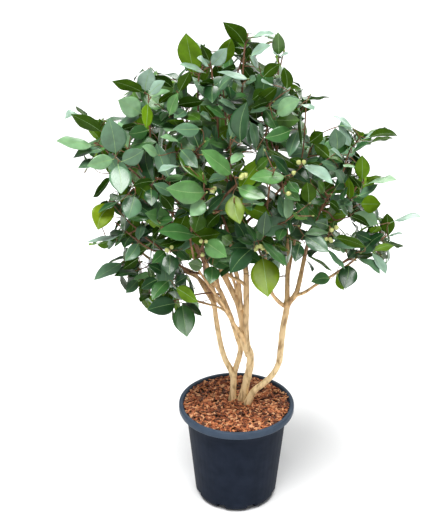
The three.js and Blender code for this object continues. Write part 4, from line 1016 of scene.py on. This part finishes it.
def front_open(leaf):
    """Whether the camera would see the leaf inside the outline, off the gaps and behind, not
    before, the front leaves."""
    u, v, ahead = seen(over_blade(leaf, DENSE_S, DENSE_W)).T[:, :, None]
    if (~inside_outline(u, v) | in_gap(u, v)).sum() > MAY_SHOW:
        return False
    du, dv = u - FRONT[None, :, 0], v - FRONT[None, :, 1]
    along = (du * FRONT_ALONG[None, :, 0] + dv * FRONT_ALONG[None, :, 1]) / FRONT_LONG[None]
    aside = np.abs(dv * FRONT_ALONG[None, :, 0] - du * FRONT_ALONG[None, :, 1])
    over = (along > 0.02) & (along < 1) & (aside < half_width(along) * FRONT[None, :, 4] / 2 + 0.8)
    return not (over & (ahead < FRONT_AHEAD[None] + ROOM_BEHIND)).any()


for which, leaf, _ in front:
    keep_leaf(which, leaf)

for which, spray in enumerate(sprays):
    grow_spray(which, spray)

# The front twigs set out from the nearest bough or twig, and each front leaf from the nearest of
# those, with a short twig of its own.
wood = [tuple(p) for limb in limbs.values() for p in curve(limb["knots"], 40)]
wood += [tuple(p) for s in sprays for path, _ in s["paths"] for p in path]
wood = np.array(wood)
front_paths = []


def nearest_wood(p, deeper=0.0):
    """The point of the wood nearest to p, one that lies behind p by preference."""
    gap = np.linalg.norm(wood - numbers(p), axis=1) + deeper * np.maximum(0, p.y - wood[:, 1])
    return Vector(wood[gap.argmin()]), gap.min()


def joined_path(start, leave, end, arrive, step=9):
    """A curve from start to end that leaves and arrives along the two ways given."""
    reach = (end - start).length
    a, d = start, end
    b, c = start + leave * (reach * 0.4), end - arrive * (reach * 0.35)
    count = max(2, round(reach / step))
    return [a * (1 - t) ** 3 + b * (3 * t * (1 - t) ** 2) + c * (3 * t * t * (1 - t)) + d * t ** 3
            for t in (k / count for k in range(count + 1))]


def add_wood(path):
    global wood
    wood = np.vstack([wood, [tuple(p) for p in path]])


def join_leaf(leaf, root, gap):
    """The twig that carries a leaf from the wood at root."""
    leave = ((leaf["base"] - root).normalized() + UP * 0.3).normalized()
    arrive = (leaf["direction"] * 0.6 + leave * 0.4).normalized()
    path = joined_path(root, leave, leaf["base"], arrive)
    front_paths.append((path, graded(1.0 + min(1.0, gap / 120), 0.9, len(path) - 1)))
    add_wood(path)


for r0, r1, depth, row in FORK_STRANDS:
    path = curve([put(u, v, depth) for u, v in row], 20)
    sizes = [r * (1 + 0.05 * math.sin(k * 1.3)) for k, r in enumerate(graded(r0, r1, 20))]
    tube(stem_heap, path, sizes, 16)
    add_wood(path)

for r0, r1, share, row in FRONT_TWIGS:
    points = [put(u, v, front_depth(u, v) * share) for u, v in row]
    path = curve(points, max(6, round(run_length(points) / 8)))
    root, gap = nearest_wood(path[0])
    way = (path[1] - path[0]).normalized()
    lead = joined_path(root, (path[0] - root).normalized() if gap > 1 else way, path[0], way)
    path = lead[:-1] + path
    front_paths.append((path, graded(r0, r1, len(path) - 1)))
    add_wood(path)

order = sorted(range(len(front)), key=lambda k: nearest_wood(front[k][1]["base"])[1])
for k in order:
    leaf = front[k][1]
    root, gap = nearest_wood(leaf["base"], 0.5)
    if gap > 2:
        join_leaf(leaf, root, gap)

# Leaves behind the front ones, wherever the sky doesn't show between those.
GRID_S = np.repeat(np.linspace(0.05, 1, 34), 19)[:, None]
GRID_W = np.tile(np.linspace(-1, 1, 19), 34)[:, None]
covered = np.zeros((PICTURE_TALL, PICTURE_WIDE), bool)


def cover(leaf):
    at = seen(over_blade(leaf, GRID_S, GRID_W))
    rows, columns = at[:, 1].astype(int), at[:, 0].astype(int)
    keep = (rows >= 0) & (rows < PICTURE_TALL) & (columns >= 0) & (columns < PICTURE_WIDE)
    covered[rows[keep], columns[keep]] = True


for _, leaf in leaves_made:
    cover(leaf)
down, over = np.mgrid[0:PICTURE_TALL, 0:PICTURE_WIDE].reshape(2, -1, 1) + 0.5
wanted = (inside_outline(over, down) & ~in_gap(over, down)).reshape(covered.shape)
fill_random = seeded(606)
limb_rows = np.array(limb_beads)
for attempt in range(FILL_TRIES):
    if attempt % 40 == 0:
        open_spots = np.argwhere(wanted & ~covered)
        if len(open_spots) < FILL_ENOUGH * wanted.sum():
            break
    v, u = open_spots[int(fill_random() * len(open_spots))] + 0.5
    if covered[int(v), int(u)]:
        continue
    middle = put(u, v, mix(front_depth(u, v) + 30, 140, fill_random() ** 1.2))
    outward = (middle - CROWN_HEART).normalized()
    way = (outward * 0.6 + spread(fill_random, 0.6) * 2.2).normalized()
    size = mix(*LEAF_LENGTH, fill_random()) * mix(1, 0.68, attempt / FILL_TRIES)
    base = middle - way * (size * mix(0.4, 0.7, fill_random()))
    facing = facing_at(middle, fill_random)
    tint = dealt_tint(fill_random)
    if fill_random() < TURNED_SHARE:
        facing, tint = -facing, UNDER_SHARES[int(fill_random() * 4)]
    width = size * mix(LEAF_SLENDER, LEAF_BROAD, fill_random())
    leaf = make_leaf(base, way, facing, size, width, tint)
    points = blade_samples(leaf)
    if not front_open(leaf) or placed.hits(points, 4) or bead_hits(points[3:], limb_rows):
        continue
    root, gap = nearest_wood(base)
    if gap > TWIG_REACH:
        continue
    join_leaf(leaf, root, gap)
    cover(leaf)
    keep_leaf(int((np.linalg.norm(HUBS - numbers(base), axis=1) - REACHES).argmin()), leaf)

bud_random = seeded(4242)
for u, v, count in BUDS:
    centre = put(u, v, front_depth(u, v) - 12)
    root, gap = nearest_wood(centre, 0.5)
    way = (centre - root).normalized()
    path = joined_path(root, way, centre, way)
    front_paths.append((path, [1.5] * len(path)))
    for k in range(count):
        turn = 2 * math.pi * k / count + bud_random()
        out = squared(on_circle(1, turn, 0.4), way) * mix(0.6, 1.2, bud_random()) + way * 0.4
        out = (out + Vector((0, -0.5, 0.2))).normalized()
        size = mix(12, 15, bud_random())
        add_bud(centre + out * 5, out, size, size * mix(0.40, 0.46, bud_random()), 0)
        tube(twig_heap, [centre, centre + out * 6], [1.2, 1.4], 6)

for spray in sprays:
    for path, sizes in spray["paths"]:
        tube(twig_heap, path, sizes, 7, cap_start=False)
for path, sizes in front_paths:
    tube(twig_heap, path, sizes, 8)

# ---- leaves -----------------------------------------------------------------------------

ACROSS = (-1, -0.8, -0.45, None, 0, None, 0.45, 0.8, 1)     # None is the rib's edge
COLUMNS = len(ACROSS)


def leaf_faces():
    """Faces and their parts: 0 upper, 1 under, 2 rib and stalk."""
    last = len(OUTLINE_S) - 1
    faces, parts = [], []
    below = (last + 1) * COLUMNS
    for i in range(last):
        for k in range(COLUMNS - 1):
            a, b = i * COLUMNS + k, (i + 1) * COLUMNS + k
            faces += [(a, b, b + 1, a + 1), (below + a, below + a + 1, below + b + 1, below + b)]
            parts += [2, 2] if k in (3, 4) else [0, 1]
        a, b = i * COLUMNS, (i + 1) * COLUMNS
        z = COLUMNS - 1
        faces += [(a, below + a, below + b, b), (a + z, b + z, below + b + z, below + a + z)]
        parts += [0, 0]
    end = last * COLUMNS
    for k in range(COLUMNS - 1):
        faces.append((k, k + 1, below + k + 1, below + k))
        faces.append((end + k, below + end + k, below + end + k + 1, end + k + 1))
        parts += [0, 0]
    faces += band(2 * below, 2 * below + 4, 4)
    return faces, parts + [2] * 4


LEAF_FACES, LEAF_PARTS = leaf_faces()
PETIOLE = 0.06                    # share of the leaf's length that is its stalk


def add_blade(heap, leaf, random):
    """The leaf as a thin closed blade: folded at its rib, arched, its tip turned down."""
    length, width = leaf["length"], leaf["width"]
    fold = mix(0.10, 0.38, random())
    curl = mix(0.06, 0.34, random())
    arch = leaf.get("arch", mix(0.03, 0.12, random()))
    droop = mix(0.02, 0.08, random())
    twist = math.radians(mix(-16, 16, random()))
    wave, lean, ripple = random() * WHOLE_TURN, mix(-1, 1, random()), mix(0.4, 2.2, random())
    lean *= 0.015 if "bow" in leaf else 0.05
    s = np.array(OUTLINE_S)[:, None]
    half = half_width(s)
    rib = np.minimum(1.5 * (1 - 0.75 * s) / width, half * 0.3)
    columns = [(-rib if k == 3 else rib) if a is None else a * half for k, a in enumerate(ACROSS)]
    across = np.hstack([c + 0 * s for c in columns]) * (width / 2)
    flat = np.abs(across) / (width / 2)
    bend = length * (arch * 4 * s * (1 - s) - droop * (s - s ** 3))
    swell = np.sin(math.pi * np.clip(s, 0.06, 1) ** 0.8) ** 0.5
    up = bend + (width / 2) * (fold * flat ** 1.4 - curl * flat ** 2.6) * swell
    up = up + ripple * np.sin(s * 11 + wave + np.sign(across) * 1.3) * flat ** 1.5
    turn = twist * (s - 0.4)
    y = across * np.cos(turn) + length * lean * np.sin(math.pi * s)
    z = up + across * np.sin(turn)
    x = length * (PETIOLE + (1 - PETIOLE) * s) + 0 * across
    local = np.stack([x, y, z], 2).reshape(-1, 3)
    below = local.copy()
    below[:, 2] -= (LEAF_THICK * (1 - 0.55 * flat) * np.minimum(1, 0.25 + 6 * (1 - s))).reshape(-1)
    stalk = np.array([[0, 1.15, 0], [0, 0, 1.15], [0, -1.15, 0], [0, 0, -1.15]])
    points = np.vstack([local, below, stalk, stalk * 0.9 + local[4] + np.array([1.5, 0, -0.3])])
    basis = np.array([tuple(leaf[way]) for way in ("direction", "side", "normal")])
    world = points @ basis + numbers(leaf["base"])
    if "bow" in leaf:
        t = points[:, 0:1] / length
        world = world + 4 * t * (1 - t) * numbers(leaf["bow"])
    under = tints.index(BACK_SHARES[int(random() * 4)])
    top = tints.index(leaf["tint"])
    if leaf["tint"] in UNDER_TINTS:
        top, under = tints.index("mid"), top
    elif leaf["tint"] in SPENT_TINTS:
        under = top
    heap.add(world, LEAF_FACES, [(top, under, RIB)[part] for part in LEAF_PARTS])


# Each piece of leaves takes the sprays whose hubs lie between two heights.
LAYERS = [("leaves_low", 0, 930), ("leaves_mid", 930, 1080), ("leaves_high", 1080, 1200),
          ("leaves_top", 1200, 2000)]
leaf_random = seeded(77)
for name, low, high in LAYERS:
    heap = Heap()
    members = {k for k, s in enumerate(sprays) if low <= s["hub"].z < high}
    for which, leaf in leaves_made:
        if which in members:
            add_blade(heap, leaf, leaf_random)
    heap.make(name, leaf_materials, "foliage", [sprays[k]["name"] for k in sorted(members)])

stem_heap.make("stems", [pale_bark], "bark_pale", STEM_NAMES)
bough_heap.make("boughs", [brown_bark], "bark_brown", [n for n in LIMBS if n not in STEM_NAMES])
twig_heap.make("twigs", [twig_bark], "bark_brown", [])
bud_heap.make("buds", [bud_scale, bud_green], "foliage", [])

# ---- pot --------------------------------------------------------------------------------

SIDES = 288
FLUTES, FLUTE_DEEP = 48, 0.3
NOTCHES, NOTCH_WIDTH, NOTCH_HEIGHT = 8, 28, 24
# radii of the notches' inner edge, and past which they cut
NOTCH_FOOT, NOTCH_RING = 104, 110


def wall(share, z):
    """A row of the wall, at a share of the way from the heel to the band."""
    return mix(HEEL_RADIUS, BAND_RADIUS, share), z


profile = [
    (0, 0), (96, 0), (NOTCH_FOOT, 0), (POT_FOOT_RADIUS - 3, 0), (POT_FOOT_RADIUS, 1.2),
    (HEEL_RADIUS - 2, HEEL_Z - 3), (HEEL_RADIUS, HEEL_Z),
    wall(0.05, 30), wall(0.3, 99.4), wall(0.65, 196.7), wall(0.94, 277),
    (BAND_RADIUS, BAND_Z), (BAND_RADIUS + 3, BAND_Z + 4), (BAND_RADIUS + 4.2, LIP_Z - 1),
    (BAND_RADIUS + 6, LIP_Z), (LIP_RADIUS - 3.5, LIP_Z), (LIP_RADIUS - 1, LIP_Z + 1),
    (LIP_RADIUS, LIP_Z + 3.5), (LIP_RADIUS, POT_HEIGHT - 4), (LIP_RADIUS - 1, POT_HEIGHT - 1.2),
    (LIP_RADIUS - 4, POT_HEIGHT), (LIP_INNER + 3, POT_HEIGHT), (LIP_INNER + 1, POT_HEIGHT - 0.8),
    (LIP_INNER, POT_HEIGHT - 3), (LIP_INNER - 3, 312), (BAND_RADIUS - POT_WALL, BAND_Z),
    (HEEL_RADIUS - POT_WALL, 22), (102, POT_FLOOR), (0, POT_FLOOR),
]
points, faces, marks = [], [], []
for row_r, row_z in profile:
    for k in range(SIDES):
        r, z = row_r, row_z
        turn = 2 * math.pi * k / SIDES
        flute = 0
        if HEEL_Z < z < BAND_Z and r > HEEL_RADIUS:
            flute = FLUTE_DEEP * abs(math.cos(turn * FLUTES / 2)) ** 0.6 - FLUTE_DEEP
        off = abs(((turn / (2 * math.pi) * NOTCHES) % 1) - 0.5) / NOTCHES * 2 * math.pi * POT_FOOT_RADIUS
        if off < NOTCH_WIDTH / 2 and z < NOTCH_HEIGHT and r > NOTCH_RING:
            r, z = (NOTCH_FOOT, NOTCH_HEIGHT - 0.5) if z == 0 else (HEEL_RADIUS + 0.5, NOTCH_HEIGHT)
        points.append(on_circle(r + flute, turn, z))
# The lip's faces (mark 1) take the lighter rim plastic, a painted highlight.
for i, (r, z) in enumerate(profile[:-1]):
    faces += band(i * SIDES, (i + 1) * SIDES, SIDES)
    marks += [1 if z >= LIP_Z + 1 and r > LIP_INNER - 2 else 0] * SIDES
pot_heap = Heap()
pot_heap.add(points, faces, marks)
pot_heap.make("pot_body", [pot_plastic, lit_rim_plastic], "pot_plastic", ["pot"])

# ---- soil and bark chips ----------------------------------------------------------------

SOIL_SIDES, SOIL_RINGS, SOIL_RADIUS = 72, 26, 163.5
SOIL_FOOT, SOIL_FOOT_SHARE = 297, 0.92   # the fill's hidden underside: its height, and its width
points = [Vector((0, 0, SOIL_TOP - 2))]
for i in range(1, SOIL_RINGS + 1):
    for k in range(SOIL_SIDES):
        turn = 2 * math.pi * k / SOIL_SIDES
        r = SOIL_RADIUS * i / SOIL_RINGS
        p = on_circle(r, turn)
        p.z = SOIL_TOP - 3 + 3.0 * noise.noise(p * 0.05) - 3 * (r / SOIL_RADIUS) ** 4
        points.append(p)
faces = [(0, 1 + k, 1 + (k + 1) % SOIL_SIDES) for k in range(SOIL_SIDES)]
for i in range(SOIL_RINGS - 1):
    faces += band(1 + i * SOIL_SIDES, 1 + (i + 1) * SOIL_SIDES, SOIL_SIDES, turned=True)
low_ring = len(points)
rim = low_ring - SOIL_SIDES
points += [Vector((p.x * SOIL_FOOT_SHARE, p.y * SOIL_FOOT_SHARE, SOIL_FOOT)) for p in points[rim:]]
faces += band(rim, low_ring, SOIL_SIDES, turned=True)
faces.append(tuple(low_ring + k for k in reversed(range(SOIL_SIDES))))
soil_heap = Heap()
soil_heap.add(points, faces, 0)
soil_heap.make("soil_bed", [soil_dark], "bark_mulch", ["soil"])

CHIP_TRIES, CHIP_REACH = 2600, 164
CLEAR_OF_STEMS = 15
CHIP_FACES = [(0, 3, 2, 1), (4, 5, 6, 7), (0, 1, 5, 4), (1, 2, 6, 5), (2, 3, 7, 6), (3, 0, 4, 7)]
chip_heap = Heap()
random = seeded(909)
feet = [Vector((*LIMBS[n]["foot"], 0)) for n in ("left_stem", "middle_stem", "right_foot")]
for _ in range(CHIP_TRIES):
    r = CHIP_REACH * math.sqrt(random())
    centre = on_circle(r, 2 * math.pi * random())
    if min((centre - f).length for f in feet) < CLEAR_OF_STEMS:
        continue
    size = (mix(3, 10, random() ** 1.4), mix(1.6, 4.5, random()), mix(0.8, 1.8, random()))
    yaw, pitch, roll = 2 * math.pi * random(), 0.9 * (random() - 0.5), 0.9 * (random() - 0.5)
    centre.z = SOIL_TOP + 6 * random()
    ex = Vector((math.cos(yaw) * math.cos(pitch), math.sin(yaw) * math.cos(pitch), math.sin(pitch)))
    ey = squared(Vector((-math.sin(yaw), math.cos(yaw), math.sin(roll))), ex)
    ez = ex.cross(ey)
    corners = []
    for sz in (-1, 1):
        for sx, sy in ((-1, -1), (1, -1), (1, 1), (-1, 1)):
            x, y, z = [half * mix(0.55, 1.1, random()) for half in size]
            corners.append(centre + ex * (sx * x) + ey * (sy * y) + ez * (sz * z))
    chip_heap.add(corners, CHIP_FACES, min(4, int(random() ** 1.1 * 5)))
chip_heap.make("bark_chips", chip_materials, "bark_mulch", [], smooth=False)

# ---- floor and light --------------------------------------------------------------------

bpy.ops.mesh.primitive_plane_add(size=80, location=(0, 0, 0))
floor = bpy.context.object
floor.name = "floor"
floor_material, _, _, shader = material("floor_paper", 0.9)
shader.inputs["Base Color"].default_value = (0.78, 0.78, 0.78, 1)
floor.data.materials.append(floor_material)

world = bpy.data.worlds.new("world")
bpy.context.scene.world = world
world.use_nodes = True
background = world.node_tree.nodes["Background"]
background.inputs["Color"].default_value = (0.97, 0.985, 1, 1)
background.inputs["Strength"].default_value = 0.42
bpy.context.scene.view_settings.view_transform = "Standard"


def lamp(name, kind, power, way):
    """A lamp that shines the given way."""
    light = bpy.data.lights.new(name, kind)
    light.energy = power
    made = bpy.data.objects.new(name, light)
    bpy.context.scene.collection.objects.link(made)
    made.rotation_euler = Vector(way).to_track_quat("-Z", "Y").to_euler()
    return made


sky = lamp("sky", "SUN", 5.3, (0.10, 0.30, -1))
sky.data.angle = math.radians(36)
back = lamp("back", "AREA", 60, (-0.8, -2.4, -1.9))
back.location = (0.8, 2.4, 2.9)
back.data.size = 2.4
